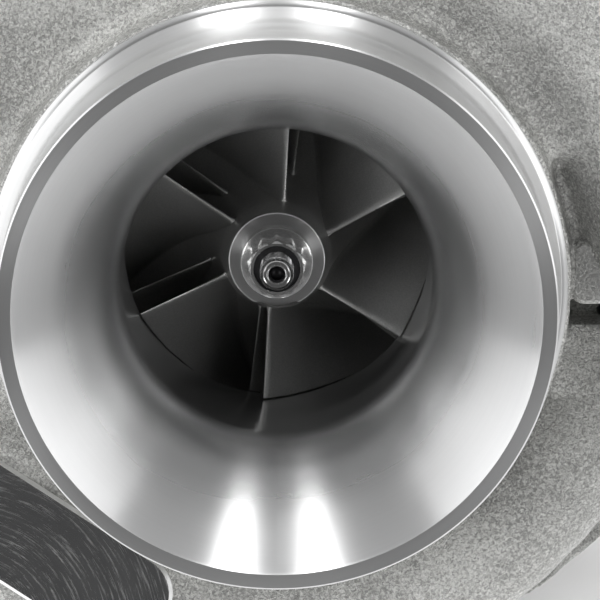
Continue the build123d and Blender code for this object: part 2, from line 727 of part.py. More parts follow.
# ---------------------------------------------------------------- bearing housing
def bearing_housing():
    """Iron centre casting: oil comes in at the top, passes the bearings and falls out below."""
    body = turned(
        (0, CENTRE_Y0),
        (49.0, CENTRE_Y0),
        (49.0, 104.0),
        (31.0, 106.0),
        (28.0, 112.0),
        (26.0, 132.0),
        (30.0, 146.0),
        (REAR_FLANGE_R - 4, REAR_FLANGE_Y0),
        (REAR_FLANGE_R, REAR_FLANGE_Y0),
        (REAR_FLANGE_R, REAR_FLANGE_Y1),
        (38.0, REAR_FLANGE_Y1),
        (20.0, 164.0),
        (14.0, 166.0),
        (0, 166.0),
    )
    body += rod((0, FEED_Y, 0), (0, FEED_Y, FEED_TOP), 13.0)
    drain_outline = RectangleRounded(DRAIN_SPACING + 20, 26, 9)
    drain_foot = extrude(Plane(origin=(0, DRAIN_Y, DRAIN_FACE)) * drain_outline, 10)
    body += rod((0, DRAIN_Y, 0), (0, DRAIN_Y, DRAIN_FACE), 13.0) + drain_foot
    hollows = [
        disc(POCKET_R, CENTRE_Y0 - 1, 105.3),
        disc(16.0, 105.0, 109.5),
        disc(BEARING_BORE, 109.0, 156.0),
        disc(7.5, 124.0, 141.0),
        disc(19.0, 124.5, 140.5) & block(-20, 20, 120, 145, -20, 3),
        disc(12.0, 155.5, 160.0),
        disc(REAR_SEAL_BORE, 159.0, 167.0),
        rod((0, DRAIN_Y, -14), (0, DRAIN_Y, DRAIN_FACE - 1), DRAIN_R),
        block(-7, 7, 100, DRAIN_Y, -22.5, -15),
        block(-6, 6, FEED_Y, 157, -16.5, -11),
        rod((0, FEED_Y, FEED_TOP + 1), (0, FEED_Y, FEED_TOP - 13), 5.0),
        rod((0, FEED_Y, FEED_TOP - 12), (0, FEED_Y, 19), 2.5),
        rod((0, FEED_Y, 20), (0, FRONT_BEARING_Y + 5, 7), 1.8),
        rod((0, FEED_Y, 20), (0, REAR_BEARING_Y + 5, 7), 1.8),
        rod((0, FEED_Y, 23), (0, 103, 23.5), 1.5),
    ]
    for y in SNAP_RING_YS:
        hollows.append(disc(BEARING_BORE + 1.0, y - 0.05, y + 1.05))
    for side in (-1, 1):
        x = side * DRAIN_SPACING / 2
        hollows.append(rod((x, DRAIN_Y, DRAIN_FACE - 1), (x, DRAIN_Y, DRAIN_FACE + 11), 3.4))
    hollows += pin_holes()
    screw_hole = rod((0, CENTRE_Y0 - 1, SCREW_R), (0, 106, SCREW_R), 3.05)
    hollows += around(screw_hole, SCREW_COUNT, SCREW_FIRST)
    for hollow in hollows:
        body -= hollow
    return body


def heat_shield():
    """Pressed steel cup that keeps the exhaust's heat off the bearing housing."""
    sheet = 1.2
    rim_y = REAR_FLANGE_Y1
    face_y = 167.0
    return turned(
        (10.5, face_y),
        (28.0, face_y),
        (36.0, rim_y + sheet),
        (40.0, rim_y),
        (46.0, rim_y),
        (46.0, rim_y + sheet),
        (41.0, rim_y + sheet),
        (37.5, rim_y + 2 * sheet),
        (29.0, face_y + sheet),
        (10.5, face_y + sheet),
    )


# ---------------------------------------------------------------- turbine housing
def volute_radius(part):
    return VOLUTE_BIG + (VOLUTE_SMALL - VOLUTE_BIG) * part


def volute(extra, count=14):
    """The exhaust passage round the wheel, large at the inlet; extra thickens it into the casting."""
    sections = []
    for i in range(count):
        part = i / (count - 1)
        a = volute_radius(part)
        centre = Pos(VOLUTE_IN + a, volute_depth(a))
        sections.append(section_plane(VOLUTE_START + VOLUTE_SWEEP * part) * centre * Circle(a + extra))
    return loft(sections)


def volute_depth(a):
    """Depth of the volute's centre line: it moves back a little where it is larger."""
    return VOLUTE_Y + 0.3 * (a - VOLUTE_SMALL)


INLET_X = -(VOLUTE_IN + VOLUTE_BIG)
INLET_Y = volute_depth(VOLUTE_BIG)


def inlet_duct(extra, bottom):
    """From the round volute at shaft height down to the rounded oblong port in the foot."""
    port = RectangleRounded(PORT_X + 2 * extra, PORT_Y + 2 * extra, PORT_CORNER + extra)
    reach = VOLUTE_BIG + extra - CAST_STEP
    middle = RectangleRounded(2 * reach, 2 * reach, reach - 0.5)
    plane = Plane(origin=(INLET_X, INLET_Y, 0))
    return loft([plane * Pos(0, 0, bottom) * port, plane * Pos(0, 0, 2) * middle])


def turbine_housing():
    """Iron casting: foot flange, volute, shroud and outlet."""
    body = turned(
        (30.0, REAR_FLANGE_Y0),
        (64.0, REAR_FLANGE_Y0),
        (64.0, 164.0),
        (55.0, 168.0),
        (55.0, 192.0),
        (46.0, 204.0),
        (43.0, 214.0),
        (43.0, 230.0),
        (45.0, 234.0),
        (49.0, 236.0),
        (49.0, OUTLET_Y),
        (30.0, OUTLET_Y),
    )
    body += volute(VOLUTE_WALL)
    body += inlet_duct(VOLUTE_WALL, FOOT_Z)
    foot = RectangleRounded(FOOT_HOLE_X + 28, FOOT_HOLE_Y + 26, 12)
    body += extrude(Plane(origin=(INLET_X, INLET_Y, FOOT_Z)) * foot, FOOT_THICK)
    shroud = ellipse_path(
        (TURBINE_R + 0.4, TURBINE_TIP_Y1 + 0.4), (TURBINE_EXIT_R + 0.4, TURBINE_EXIT_Y), False
    )
    gap_r = TURBINE_R + 0.4
    throat_y = TURBINE_TIP_Y1 + 0.4
    exit_r = TURBINE_EXIT_R + 0.4
    gas_path = turned_face(
        Line((0, REAR_FLANGE_Y0 - 1), (REAR_FLANGE_R + 0.15, REAR_FLANGE_Y0 - 1)),
        Line((REAR_FLANGE_R + 0.15, REAR_FLANGE_Y0 - 1), (REAR_FLANGE_R + 0.15, REAR_FLANGE_Y1 + 0.05)),
        Line((REAR_FLANGE_R + 0.15, REAR_FLANGE_Y1 + 0.05), (VOLUTE_IN + 0.2, REAR_FLANGE_Y1 + 0.05)),
        Line((VOLUTE_IN + 0.2, REAR_FLANGE_Y1 + 0.05), (VOLUTE_IN + 0.2, REAR_FLANGE_Y1 + 1.25)),
        Line((VOLUTE_IN + 0.2, REAR_FLANGE_Y1 + 1.25), (43.0, REAR_FLANGE_Y1 + 1.25)),
        Line((43.0, REAR_FLANGE_Y1 + 1.25), (43.0, TURBINE_TIP_Y0)),
        Line((43.0, TURBINE_TIP_Y0), (VOLUTE_IN + 3, TURBINE_TIP_Y0)),
        Line((VOLUTE_IN + 3, TURBINE_TIP_Y0), (VOLUTE_IN + 3, throat_y)),
        Line((VOLUTE_IN + 3, throat_y), (gap_r, throat_y)),
        Spline(*[shroud(i / 8) for i in range(9)], tangents=[(-1, 0), (0, 1)]),
        Line((exit_r, TURBINE_EXIT_Y), (38.1, 234.0)),
        Line((38.1, 234.0), (38.1, OUTLET_Y + 1)),
        Line((38.1, OUTLET_Y + 1), (0, OUTLET_Y + 1)),
        Line((0, OUTLET_Y + 1), (0, REAR_FLANGE_Y0 - 1)),
    )
    body -= gas_path
    body -= volute(0)
    body -= inlet_duct(0, FOOT_Z)
    for dx in (-FOOT_HOLE_X / 2, FOOT_HOLE_X / 2):
        for dy in (-FOOT_HOLE_Y / 2, FOOT_HOLE_Y / 2):
            x, y = INLET_X + dx, INLET_Y + dy
            body -= rod((x, y, FOOT_Z - 1), (x, y, FOOT_Z + FOOT_THICK + 1), 5.5)
    hole = rod((0, REAR_FLANGE_Y0 - 1, TURBINE_BOLT_R), (0, 163.0, TURBINE_BOLT_R), 4.05)
    for one in around(hole, TURBINE_BOLTS, FULL_TURN / TURBINE_BOLTS / 2):
        body -= one
    return body - pin_holes()[1]


def turbine_clamp_plates():
    """Two half rings that hold the bearing housing's flange in the turbine housing."""
    y0 = REAR_FLANGE_Y0 - CLAMP_PLATE
    plate = sector(y0, REAR_FLANGE_Y0, REAR_FLANGE_R - 2.5, 63.0, 2.0, 178.0)
    for clock in (30.0, 90.0, 150.0):
        start = clock_point(clock, TURBINE_BOLT_R, y0 - 1)
        end = clock_point(clock, TURBINE_BOLT_R, REAR_FLANGE_Y0 + 1)
        plate -= rod(start, end, 4.3)
    return as_solids(around(plate, 2))


def turbine_clamp_bolts():
    bolt = hex_bolt(REAR_FLANGE_Y0 - CLAMP_PLATE, 1, 4.0, 15.0, 12.0, 5.0)
    return bolt_circle(bolt, TURBINE_BOLTS, TURBINE_BOLT_R, FULL_TURN / TURBINE_BOLTS / 2)


# ---------------------------------------------------------------- everything, one file per node
PIECES = {
    "compressor_housing": compressor_housing,
    "compressor_wheel": compressor_wheel,
    "compressor_nut": compressor_nut,
    "compressor_clamp_plates": compressor_clamp_plates,
    "compressor_clamp_bolts": compressor_clamp_bolts,
    "backplate": backplate,
    "backplate_o_ring": backplate_o_ring,
    "backplate_screws": backplate_screws,
    "front_seal_ring": lambda: seal_ring(FRONT_GROOVE_Y + 0.1, 7.0, SEAL_BORE),
    "oil_flinger": oil_flinger,
    "oil_deflector": oil_deflector,
    "thrust_washer": thrust_washer,
    "thrust_bearing": thrust_bearing,
    "thrust_collar": thrust_collar,
    "thrust_spacer": thrust_spacer,
    "bearing_housing": bearing_housing,
    "locating_pins": locating_pins,
    "front_journal_bearing": lambda: journal_bearing(FRONT_BEARING_Y),
    "rear_journal_bearing": lambda: journal_bearing(REAR_BEARING_Y),
    "journal_snap_rings": journal_snap_rings,
    "shaft": shaft,
    "rear_seal_ring": lambda: seal_ring(REAR_GROOVE_Y + 0.1, 7.2, REAR_SEAL_BORE),
    "heat_shield": heat_shield,
    "turbine_wheel": turbine_wheel,
    "turbine_housing": turbine_housing,
    "turbine_clamp_plates": turbine_clamp_plates,
    "turbine_clamp_bolts": turbine_clamp_bolts,
}

os.makedirs("parts", exist_ok=True)
for node, make in PIECES.items():
    export_step(make(), "parts/" + node + ".step")
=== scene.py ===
"""The looks of a journal-bearing turbocharger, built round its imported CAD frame.

Lengths are worked out in millimetres and scaled to metres when a mesh is made. The shaft lies along +Y, the
compressor inlet faces -Y and +Z is up. A clock angle is degrees clockwise from the top, seen from the inlet.
Castings are distance fields turned into meshes, machined faces are turned outlines, blades are lofted grids.
"""

from math import atan2, cos, hypot, pi, radians, sin, tan

import bmesh
import bpy
import numpy as np
import openvdb
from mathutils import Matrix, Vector


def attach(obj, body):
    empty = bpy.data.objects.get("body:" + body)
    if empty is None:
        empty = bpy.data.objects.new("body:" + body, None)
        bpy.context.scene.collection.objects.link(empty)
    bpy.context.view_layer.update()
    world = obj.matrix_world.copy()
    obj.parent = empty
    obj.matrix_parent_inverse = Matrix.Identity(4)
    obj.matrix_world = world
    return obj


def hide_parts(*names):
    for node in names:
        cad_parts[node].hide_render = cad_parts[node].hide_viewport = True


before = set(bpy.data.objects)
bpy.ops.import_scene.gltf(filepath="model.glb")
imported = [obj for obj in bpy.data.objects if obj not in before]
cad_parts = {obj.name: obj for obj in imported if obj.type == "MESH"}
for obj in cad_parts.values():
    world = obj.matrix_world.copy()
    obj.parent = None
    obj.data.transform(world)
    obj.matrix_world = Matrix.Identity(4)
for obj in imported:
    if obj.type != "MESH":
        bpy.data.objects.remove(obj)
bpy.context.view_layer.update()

MM = 0.001
FULL_TURN = 360.0

# ------------------------------------------------- the part's driving dimensions, in millimetres
INLET_R = 50.8
INLET_WALL = 3.1
EDGE = 0.3
SEAT_R = 50.0
LIP_END = 9.0
SEAT_END = 22.0
SHOULDER_R = 53.5
SHOULDER_Y = 26.0
BELL_R = 36.2
BELL_Y = 15.0
THROAT_R = 28.65
THROAT_Y = 32.0
CAST_WALL = 4.5

INDUCER_R = 28.35
EXDUCER_R = 41.0
TIP_GAP = 0.3
NOSE_Y = 49.6
NOSE_R = 9.1
ROOT_Y = 54.75
ROOT_R = 10.3
TIP_Y = 57.25
DIFFUSER_Y = 87.0
EXIT_WIDTH = 5.0
WHEEL_BACK = 88.3
FULL_BLADES = 6
ROOT_CLOCK = 8.5
TIP_CLOCK = 5.1
SPLITTER_START = 0.27

SCROLL_IN = 58.0
TONGUE = 100.0
SCROLL_END = 425.0
SCROLL_BASE = 9.75
SCROLL_GROWTH = 0.0439
SCROLL_BASE_CLOCK = 130.0
SCROLL_FORWARD = 1.5
COLLECTOR_R = 67.0
COLLECTOR_Y = 62.5
OUTLET_LENGTH = 95.0
OUTLET_R = 25.4
HOSE_R = 28.5

PAD_CLOCK = 213.6
PAD_IN = 60.0
PAD_WIDE = 20.0
PAD_LONG = 58.0
PAD_SHIFT = 9.0
PAD_CORNER = 8.0
PAD_Y = 45.0
BOSS_IN = 54.6
BOSS_LONG = 16.0
BOSS_Y = 38.0
BOSS_HALF = 6.0

FLANGE_R = 87.5
FLANGE_Y0 = 80.0
FLANGE_Y1 = 92.0
PLATE_R = 75.0
CLAMP_PLATE = 3.5
COMPRESSOR_BOLTS = 8
COMPRESSOR_BOLT_R = 81.0

STUB_R = 3.175
SHAFT_END = 36.6
JOURNAL_Y = 110.0
JOURNAL_R = 5.1
SEAL_HUB_Y = 160.5
SEAL_HUB_R = 8.42
TURBINE_BACK = 170.0

CENTRE_Y0 = 97.0
POCKET_R = 24.0
BEARING_BORE = 8.0
FEED_Y = 132.0
FEED_TOP = 44.0
DRAIN_Y = 127.0
DRAIN_FACE = -46.0
DRAIN_SPACING = 50.8
DRAIN_R = 9.5
REAR_FLANGE_R = 50.0
REAR_FLANGE_Y0 = 151.0
REAR_FLANGE_Y1 = 158.3

TURBINE_R = 38.0
TURBINE_EXIT_R = 32.5
TURBINE_HUB_R = 9.0
TURBINE_TIP_Y0 = 172.0
TURBINE_TIP_Y1 = 183.0
TURBINE_EXIT_Y = 203.0
TURBINE_BLADES = 10
VOLUTE_IN = 46.0
VOLUTE_WALL = 5.0
VOLUTE_START = 270.0
VOLUTE_SWEEP = 325.0
VOLUTE_BIG = 26.0
VOLUTE_SMALL = 7.0
VOLUTE_Y = 178.0
PORT_X = 46.0
PORT_Y = 64.0
PORT_CORNER = 16.0
FOOT_Z = -92.0
FOOT_THICK = 12.0
FOOT_HOLE_X = 66.0
FOOT_HOLE_Y = 86.0
OUTLET_Y = 242.0
TURBINE_BOLTS = 6
TURBINE_BOLT_R = 56.5


# ---------------------------------------------------------------- meshes
class Shell:
    """Part of a piece: corners in millimetres, faces and which of the piece's materials it has."""

    def __init__(self, points, quads, tris=(), material=0):
        self.points = np.asarray(points, float).reshape(-1, 3)
        self.quads = np.asarray(quads, int).reshape(-1, 4)
        self.tris = np.asarray(tris, int).reshape(-1, 3)
        self.material = material

    def turned_by(self, clock):
        """A copy turned clockwise round the shaft."""
        a = radians(clock)
        x, y, z = self.points.T
        points = np.stack([x * cos(a) + z * sin(a), y, z * cos(a) - x * sin(a)], axis=1)
        return Shell(points, self.quads, self.tris, self.material)

    def moved(self, origin, axis):
        """A copy whose +Y runs along axis and whose origin is moved."""
        turn = Vector((0, 1, 0)).rotation_difference(Vector(axis)).to_matrix()
        return Shell(self.points @ np.array(turn).T + np.array(origin), self.quads, self.tris, self.material)


def make_piece(name, shells, materials, body, replaced, sharp=40.0):
    """Joins shells into one object that rides on a body and stands for CAD nodes."""
    mesh = bpy.data.meshes.new(name)
    offsets = np.cumsum([0] + [len(s.points) for s in shells])
    points = np.concatenate([s.points for s in shells]) * MM
    loops, sizes, slots = [], [], []
    for shell, offset in zip(shells, offsets):
        for faces in (shell.quads, shell.tris):
            loops.append((faces + offset).reshape(-1))
            sizes.append(np.full(len(faces), faces.shape[1]))
            material = np.asarray(shell.material)
            if material.ndim:
                first = 0 if faces is shell.quads else len(shell.quads)
                slots.append(material[first : first + len(faces)])
            else:
                slots.append(np.full(len(faces), int(material)))
    loops, sizes, slots = np.concatenate(loops), np.concatenate(sizes), np.concatenate(slots)
    mesh.vertices.add(len(points))
    mesh.vertices.foreach_set("co", points.astype(np.float32).reshape(-1))
    mesh.loops.add(len(loops))
    mesh.loops.foreach_set("vertex_index", loops.astype(np.int32))
    mesh.polygons.add(len(sizes))
    mesh.polygons.foreach_set("loop_start", (np.cumsum(sizes) - sizes).astype(np.int32))
    mesh.polygons.foreach_set("material_index", slots.astype(np.int32))
    mesh.update(calc_edges=True)
    merge_poles(mesh)
    mesh.shade_smooth()
    mesh.set_sharp_from_angle(angle=radians(sharp))
    for material in materials:
        mesh.materials.append(material)
    piece = bpy.data.objects.new(name, mesh)
    bpy.context.scene.collection.objects.link(piece)
    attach(piece, body)
    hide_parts(*replaced)
    return piece


def merge_poles(mesh):
    """Joins corners that lie on the same spot, as where an outline meets its own axis."""
    work = bmesh.new()
    work.from_mesh(mesh)
    bmesh.ops.remove_doubles(work, verts=work.verts, dist=1e-7)
    bmesh.ops.dissolve_degenerate(work, edges=work.edges, dist=1e-8)
    work.to_mesh(mesh)
    work.free()


def rounded(corners, arc_steps=4):
    """An outline from (radius, depth, corner radius) corners, each corner cut by an arc."""
    outline = []
    count = len(corners)
    for i, (r, y, fillet) in enumerate(corners):
        here = np.array([r, y], float)
        if fillet == 0:
            outline.append(tuple(here))
            continue
        before = np.array(corners[i - 1][:2], float) - here
        after = np.array(corners[(i + 1) % count][:2], float) - here
        long_before, long_after = np.linalg.norm(before), np.linalg.norm(after)
        before, after = before / long_before, after / long_after
        half = np.arccos(np.clip(before @ after, -1, 1)) / 2
        reach = min(fillet / tan(half), long_before * 0.49, long_after * 0.49)
        middle = here + (before + after) / np.linalg.norm(before + after) * reach / cos(half)
        start, end = here + before * reach, here + after * reach
        radius = reach * tan(half)
        a0 = atan2(*(start - middle)[::-1])
        a1 = atan2(*(end - middle)[::-1])
        sweep = (a1 - a0 + pi) % (2 * pi) - pi
        for step in range(arc_steps + 1):
            a = a0 + sweep * step / arc_steps
            outline.append((middle[0] + radius * cos(a), middle[1] + radius * sin(a)))
    return outline


def smooth_curve(points, tangents, steps):
    """Points along a curve through given points with given tangents."""
    outline = []
    for i in range(len(points) - 1):
        p, q = np.array(points[i], float), np.array(points[i + 1], float)
        length = np.linalg.norm(q - p)
        u, v = [np.array(t, float) / hypot(*t) * length for t in (tangents[i], tangents[i + 1])]
        for step in range(steps + 1 if i == len(points) - 2 else steps):
            t = step / steps
            h = (2 * t**3 - 3 * t**2 + 1, t**3 - 2 * t**2 + t, -2 * t**3 + 3 * t**2, t**3 - t**2)
            outline.append(tuple(h[0] * p + h[1] * u + h[2] * q + h[3] * v))
    return outline


def grid_quads(rows, columns, close_rows=False, close_columns=False):
    """Quads over a grid of corners numbered row by row."""
    i = np.arange(rows if close_rows else rows - 1)[:, None]
    j = np.arange(columns if close_columns else columns - 1)[None, :]
    i2, j2 = (i + 1) % rows, (j + 1) % columns
    corners = [i * columns + j, i * columns + j2, i2 * columns + j2, i2 * columns + j]
    return np.stack([c.reshape(-1) for c in np.broadcast_arrays(*corners)], axis=1)


def turned(outline, material=0, steps=224, wobble=None):
    """A closed outline of (radius, depth) points turned about the shaft."""
    return turned_runs([outline + outline[:1]], [material], steps, wobble)[0]


def turned_runs(runs, materials, steps=224, wobble=None):
    """Runs of (radius, depth) points that follow one another round an outline, each a turned shell.

    wobble(clock angle in radians, radius, depth) may give back a changed radius and depth.
    """
    everything = np.array([point for run in runs for point in run], float)
    r, y = everything.T
    forward = np.sum(r * np.roll(y, -1) - np.roll(r, -1) * y) > 0
    angle = 2 * pi * np.arange(steps)[:, None] / steps
    shells = []
    for run, material in zip(runs, materials):
        r, y = np.array(run if forward else run[::-1], float).T
        radius, depth = r[None, :] + 0 * angle, y[None, :] + 0 * angle
        if wobble:
            radius, depth = wobble(angle, radius, depth)
        points = np.stack([radius * np.sin(angle), depth, radius * np.cos(angle)], axis=2)
        shells.append(Shell(points, grid_quads(steps, len(run), True, False), material=material))
    return shells


# ---------------------------------------------------------------- distance fields
class Field:
    """A box of space sampled on a grid, in millimetres. Distances are negative inside."""

    def __init__(self, low, high, pitch):
        self.low, self.pitch = np.array(low, float), pitch
        self.count = [int((h - l) / pitch) + 1 for l, h in zip(low, high)]
        axes = [l + pitch * np.arange(n, dtype=np.float32) for l, n in zip(low, self.count)]
        self.x = axes[0][:, None, None].astype(np.float32)
        self.y = axes[1][None, :, None].astype(np.float32)
        self.z = axes[2][None, None, :].astype(np.float32)
        self.radius = np.hypot(self.x, self.z)
        self.clock = np.degrees(np.arctan2(self.x, self.z)) % FULL_TURN

    def revolved(self, corners):
        """Distance to a body of revolution with straight-sided (radius, depth) corners."""
        step = self.pitch / 4
        r = np.arange(0, float(self.radius.max()) + 2 * step, step, dtype=np.float32)[:, None]
        table = polygon_distance(r, self.y[:, :, 0], corners)
        place = self.radius[:, 0, :] / step
        low = place.astype(int)
        part = (place - low)[:, :, None].astype(np.float32)
        found = table[low] * (1 - part) + table[low + 1] * part
        return np.ascontiguousarray(found.transpose(0, 2, 1))

    def block(self, centre, half, corner):
        """Distance to a box with rounded edges, square to the frame."""
        gaps = [np.abs(v - c) - (h - corner) for v, c, h in zip((self.x, self.y, self.z), centre, half)]
        outside = np.sqrt(sum(np.maximum(g, 0) ** 2 for g in gaps))
        inside = np.minimum(np.maximum(np.maximum(gaps[0], gaps[1]), gaps[2]), 0)
        return outside + inside - corner

    def rod(self, start, end, radius, end_radius=None):
        """Distance to a round bar between two points, tapering if a second radius is given."""
        start, end = np.array(start, float), np.array(end, float)
        length = np.linalg.norm(end - start)
        way = (end - start) / length
        dx, dy, dz = [v - c for v, c in zip((self.x, self.y, self.z), start)]
        along = dx * way[0] + dy * way[1] + dz * way[2]
        off = np.sqrt(np.maximum(dx**2 + dy**2 + dz**2 - along**2, 0))
        slope = 0 if end_radius is None else (end_radius - radius) / length
        side = off - (radius + slope * along)
        return np.maximum(side, np.maximum(-along, along - length)).astype(np.float32)

    def waves(self, size, height, seed):
        """Soft random unevenness: a coarse lattice of random heights, smoothed between its corners."""
        rng = np.random.default_rng(seed)
        counts = [int(n * self.pitch / size) + 3 for n in self.count]
        values = rng.uniform(-height, height, counts).astype(np.float32)
        for axis, n in enumerate(self.count):
            place = np.arange(n) * self.pitch / size
            low = place.astype(int)
            part = place - low
            part = (part * part * (3 - 2 * part)).astype(np.float32)
            shape = [1, 1, 1]
            shape[axis] = n
            part = part.reshape(shape)
            values = np.take(values, low, axis) * (1 - part) + np.take(values, low + 1, axis) * part
        return values

    def skin(self, distance, material=0):
        """The surface where the distance is nought, as a shell."""
        volume = openvdb.FloatGrid()
        volume.copyFromArray(np.ascontiguousarray(distance, np.float32))
        points, tris, quads = volume.convertToPolygons(0.0, 0.0)
        points = points * self.pitch + self.low
        shell = Shell(points, quads.astype(int), tris.astype(int), material)
        if enclosed(shell) < 0:
            shell.quads = shell.quads[:, ::-1]
            shell.tris = shell.tris[:, ::-1]
        return shell


def enclosed(shell):
    """Six times the volume inside a shell of quads, negative if its faces look inward."""
    a, b, c, d = [shell.points[shell.quads[:, k]] for k in range(4)]
    first = np.einsum("ij,ij->i", a, np.cross(b, c))
    second = np.einsum("ij,ij->i", a, np.cross(c, d))
    return float(np.sum(first + second))


def polygon_distance(r, y, corners):
    """Signed distance from points in the (radius, depth) plane to a closed polygon."""
    nearest = np.full(np.broadcast_shapes(r.shape, y.shape), np.inf, np.float32)
    inside = np.zeros(nearest.shape, bool)
    for (r0, y0), (r1, y1) in zip(corners, corners[1:] + corners[:1]):
        er, ey = r1 - r0, y1 - y0
        wr, wy = r - r0, y - y0
        t = np.clip((wr * er + wy * ey) / (er * er + ey * ey), 0, 1)
        nearest = np.minimum(nearest, (wr - er * t) ** 2 + (wy - ey * t) ** 2)
        crosses = (y0 > y) != (y1 > y)
        edge_r = r0 + (y - y0) * er / (ey if ey else 1e-9)
        inside ^= crosses & (r < edge_r)
    return np.where(inside, -1, 1) * np.sqrt(nearest)


def ring_corners(inner, outer, y0, y1):
    return [(inner, y0), (outer, y0), (outer, y1), (inner, y1)]


def join(a, b, blend):
    """Union of two distances, with a fillet of about the given size where they meet."""
    near = np.maximum(blend - np.abs(a - b), 0) / blend
    return np.minimum(a, b) - near * near * blend / 4


def cut(a, b, blend=0.6):
    """What is left of a when b is taken away, with slightly broken edges."""
    return -join(-a, b, blend)


def oblong_distance(u, v, half_u, half_v, corner):
    """Distance to a rounded rectangle in a plane."""
    gu, gv = np.abs(u) - (half_u - corner), np.abs(v) - (half_v - corner)
    outside = np.sqrt(np.maximum(gu, 0) ** 2 + np.maximum(gv, 0) ** 2)
    return outside + np.minimum(np.maximum(gu, gv), 0) - corner


def oblong_outline(half_u, half_v, corner, steps=8):
    """Points round a rounded rectangle, anticlockwise."""
    points = []
    for quarter, (su, sv) in enumerate([(1, 1), (-1, 1), (-1, -1), (1, -1)]):
        for step in range(steps + 1):
            a = pi / 2 * (quarter + step / steps)
            u = su * (half_u - corner) + corner * cos(a)
            v = sv * (half_v - corner) + corner * sin(a)
            points.append((u, v))
    return points


def clock_point(clock, radius, y):
    return np.array([radius * sin(radians(clock)), y, radius * cos(radians(clock))])


# ---------------------------------------------------------------- materials
class Finish:
    """One procedural material: shorthand for its nodes. Lengths in it are metres of the object."""

    def __init__(self, name, metallic, roughness, anisotropic=0.0):
        self.material = bpy.data.materials.new(name)
        self.material.use_nodes = True
        self.tree = self.material.node_tree
        self.shader = self.tree.nodes["Principled BSDF"]
        self.shader.inputs["Metallic"].default_value = metallic
        self.shader.inputs["Roughness"].default_value = roughness
        self.shader.inputs["Anisotropic"].default_value = anisotropic
        self.place = self.add("ShaderNodeTexCoord").outputs["Object"]

    def add(self, kind, **settings):
        node = self.tree.nodes.new(kind)
        for key, value in settings.items():
            setattr(node, key, value)
        return node

    def link(self, source, target):
        self.tree.links.new(source, target)

    def math(self, operation, a, b=None, c=None):
        node = self.add("ShaderNodeMath", operation=operation)
        for socket, value in zip(node.inputs, (a, b, c)):
            if value is None:
                continue
            if isinstance(value, (int, float)):
                socket.default_value = value
            else:
                self.link(value, socket)
        return node.outputs[0]

    def noise(self, size, detail=2.0, rough=0.5, place=None, distortion=0.0):
        """Random values with features of about the given size."""
        node = self.add("ShaderNodeTexNoise")
        node.inputs["Scale"].default_value = 1.0 / size
        node.inputs["Detail"].default_value = detail
        node.inputs["Roughness"].default_value = rough
        node.inputs["Distortion"].default_value = distortion
        self.link(place or self.place, node.inputs["Vector"])
        return node.outputs[0]

    def spread(self, value, from_low, from_high, to_low, to_high):
        node = self.add("ShaderNodeMapRange")
        self.link(value, node.inputs["Value"])
        numbers = (from_low, from_high, to_low, to_high)
        for key, number in zip(("From Min", "From Max", "To Min", "To Max"), numbers):
            node.inputs[key].default_value = number
        return node.outputs[0]

    def colour(self, factor, low, high):
        node = self.add("ShaderNodeMix", data_type="RGBA")
        self.link(factor, node.inputs[0])
        node.inputs[6].default_value = (*low, 1.0)
        node.inputs[7].default_value = (*high, 1.0)
        return node.outputs[2]

    def bump(self, height, distance, strength=1.0, under=None):
        node = self.add("ShaderNodeBump")
        node.inputs["Strength"].default_value = strength
        node.inputs["Distance"].default_value = distance
        self.link(height, node.inputs["Height"])
        if under:
            self.link(under, node.inputs["Normal"])
        return node.outputs[0]

    def around_shaft(self):
        """(radius, depth, clock angle) of each point about the shaft, as separate values."""
        parts = self.add("ShaderNodeSeparateXYZ")
        self.link(self.place, parts.inputs[0])
        x, y, z = parts.outputs
        squares = self.math("ADD", self.math("MULTIPLY", x, x), self.math("MULTIPLY", z, z))
        radius = self.math("SQRT", squares)
        return radius, y, self.math("ARCTAN2", x, z)

    def joined(self, x, y, z):
        node = self.add("ShaderNodeCombineXYZ")
        for socket, value in zip(node.inputs, (x, y, z)):
            if isinstance(value, (int, float)):
                socket.default_value = value
            else:
                self.link(value, socket)
        return node.outputs[0]

    def lathe_tangent(self):
        """Points the shader's tangent round the shaft, as turning marks run."""
        parts = self.add("ShaderNodeSeparateXYZ")
        self.link(self.place, parts.inputs[0])
        x, _, z = parts.outputs
        around = self.joined(z, 0.0, self.math("MULTIPLY", x, -1.0))
        world = self.add("ShaderNodeVectorTransform", vector_type="VECTOR")
        world.convert_from = "OBJECT"
        world.convert_to = "WORLD"
        self.link(around, world.inputs[0])
        unit = self.add("ShaderNodeVectorMath", operation="NORMALIZE")
        self.link(world.outputs[0], unit.inputs[0])
        self.link(unit.outputs[0], self.shader.inputs["Tangent"])
        self.shader.inputs["Anisotropic Rotation"].default_value = 0.25

    def finish(self, colour, roughness, normal):
        self.link(colour, self.shader.inputs["Base Color"])
        if roughness:
            self.link(roughness, self.shader.inputs["Roughness"])
        if normal:
            self.link(normal, self.shader.inputs["Normal"])
        return self.material


def cast_finish(name, dark, light, grain, metallic, rough_low, rough_high, depth):
    """Sand-cast skin: fine worm-like grains on soft lumps, patchy in colour and gloss. The colour follows the
    fine grain's height and is darker in its hollows: painted shade on top of the grain's own random tone.
    """
    f = Finish(name, metallic, rough_low)
    fine = f.noise(grain, detail=3.0, rough=0.6, distortion=0.8)
    lumps = f.noise(grain * 6, detail=2.0)
    patches = f.noise(0.02, detail=4.0, rough=0.6)
    # the fine grain that makes the bump also darkens the colour in its hollows: painted shade, mixed with
    # random patches of tone
    shade = f.math("ADD", f.math("MULTIPLY", fine, 0.7), f.math("MULTIPLY", patches, 0.3))
    colour = f.colour(f.spread(shade, 0.41, 0.6, 0.0, 1.0), dark, light)
    gloss = f.spread(patches, 0.35, 0.65, rough_low, rough_high)
    soft = f.bump(lumps, depth * 2.2, 0.5)
    return f.finish(colour, gloss, f.bump(fine, depth, 1.0, soft))


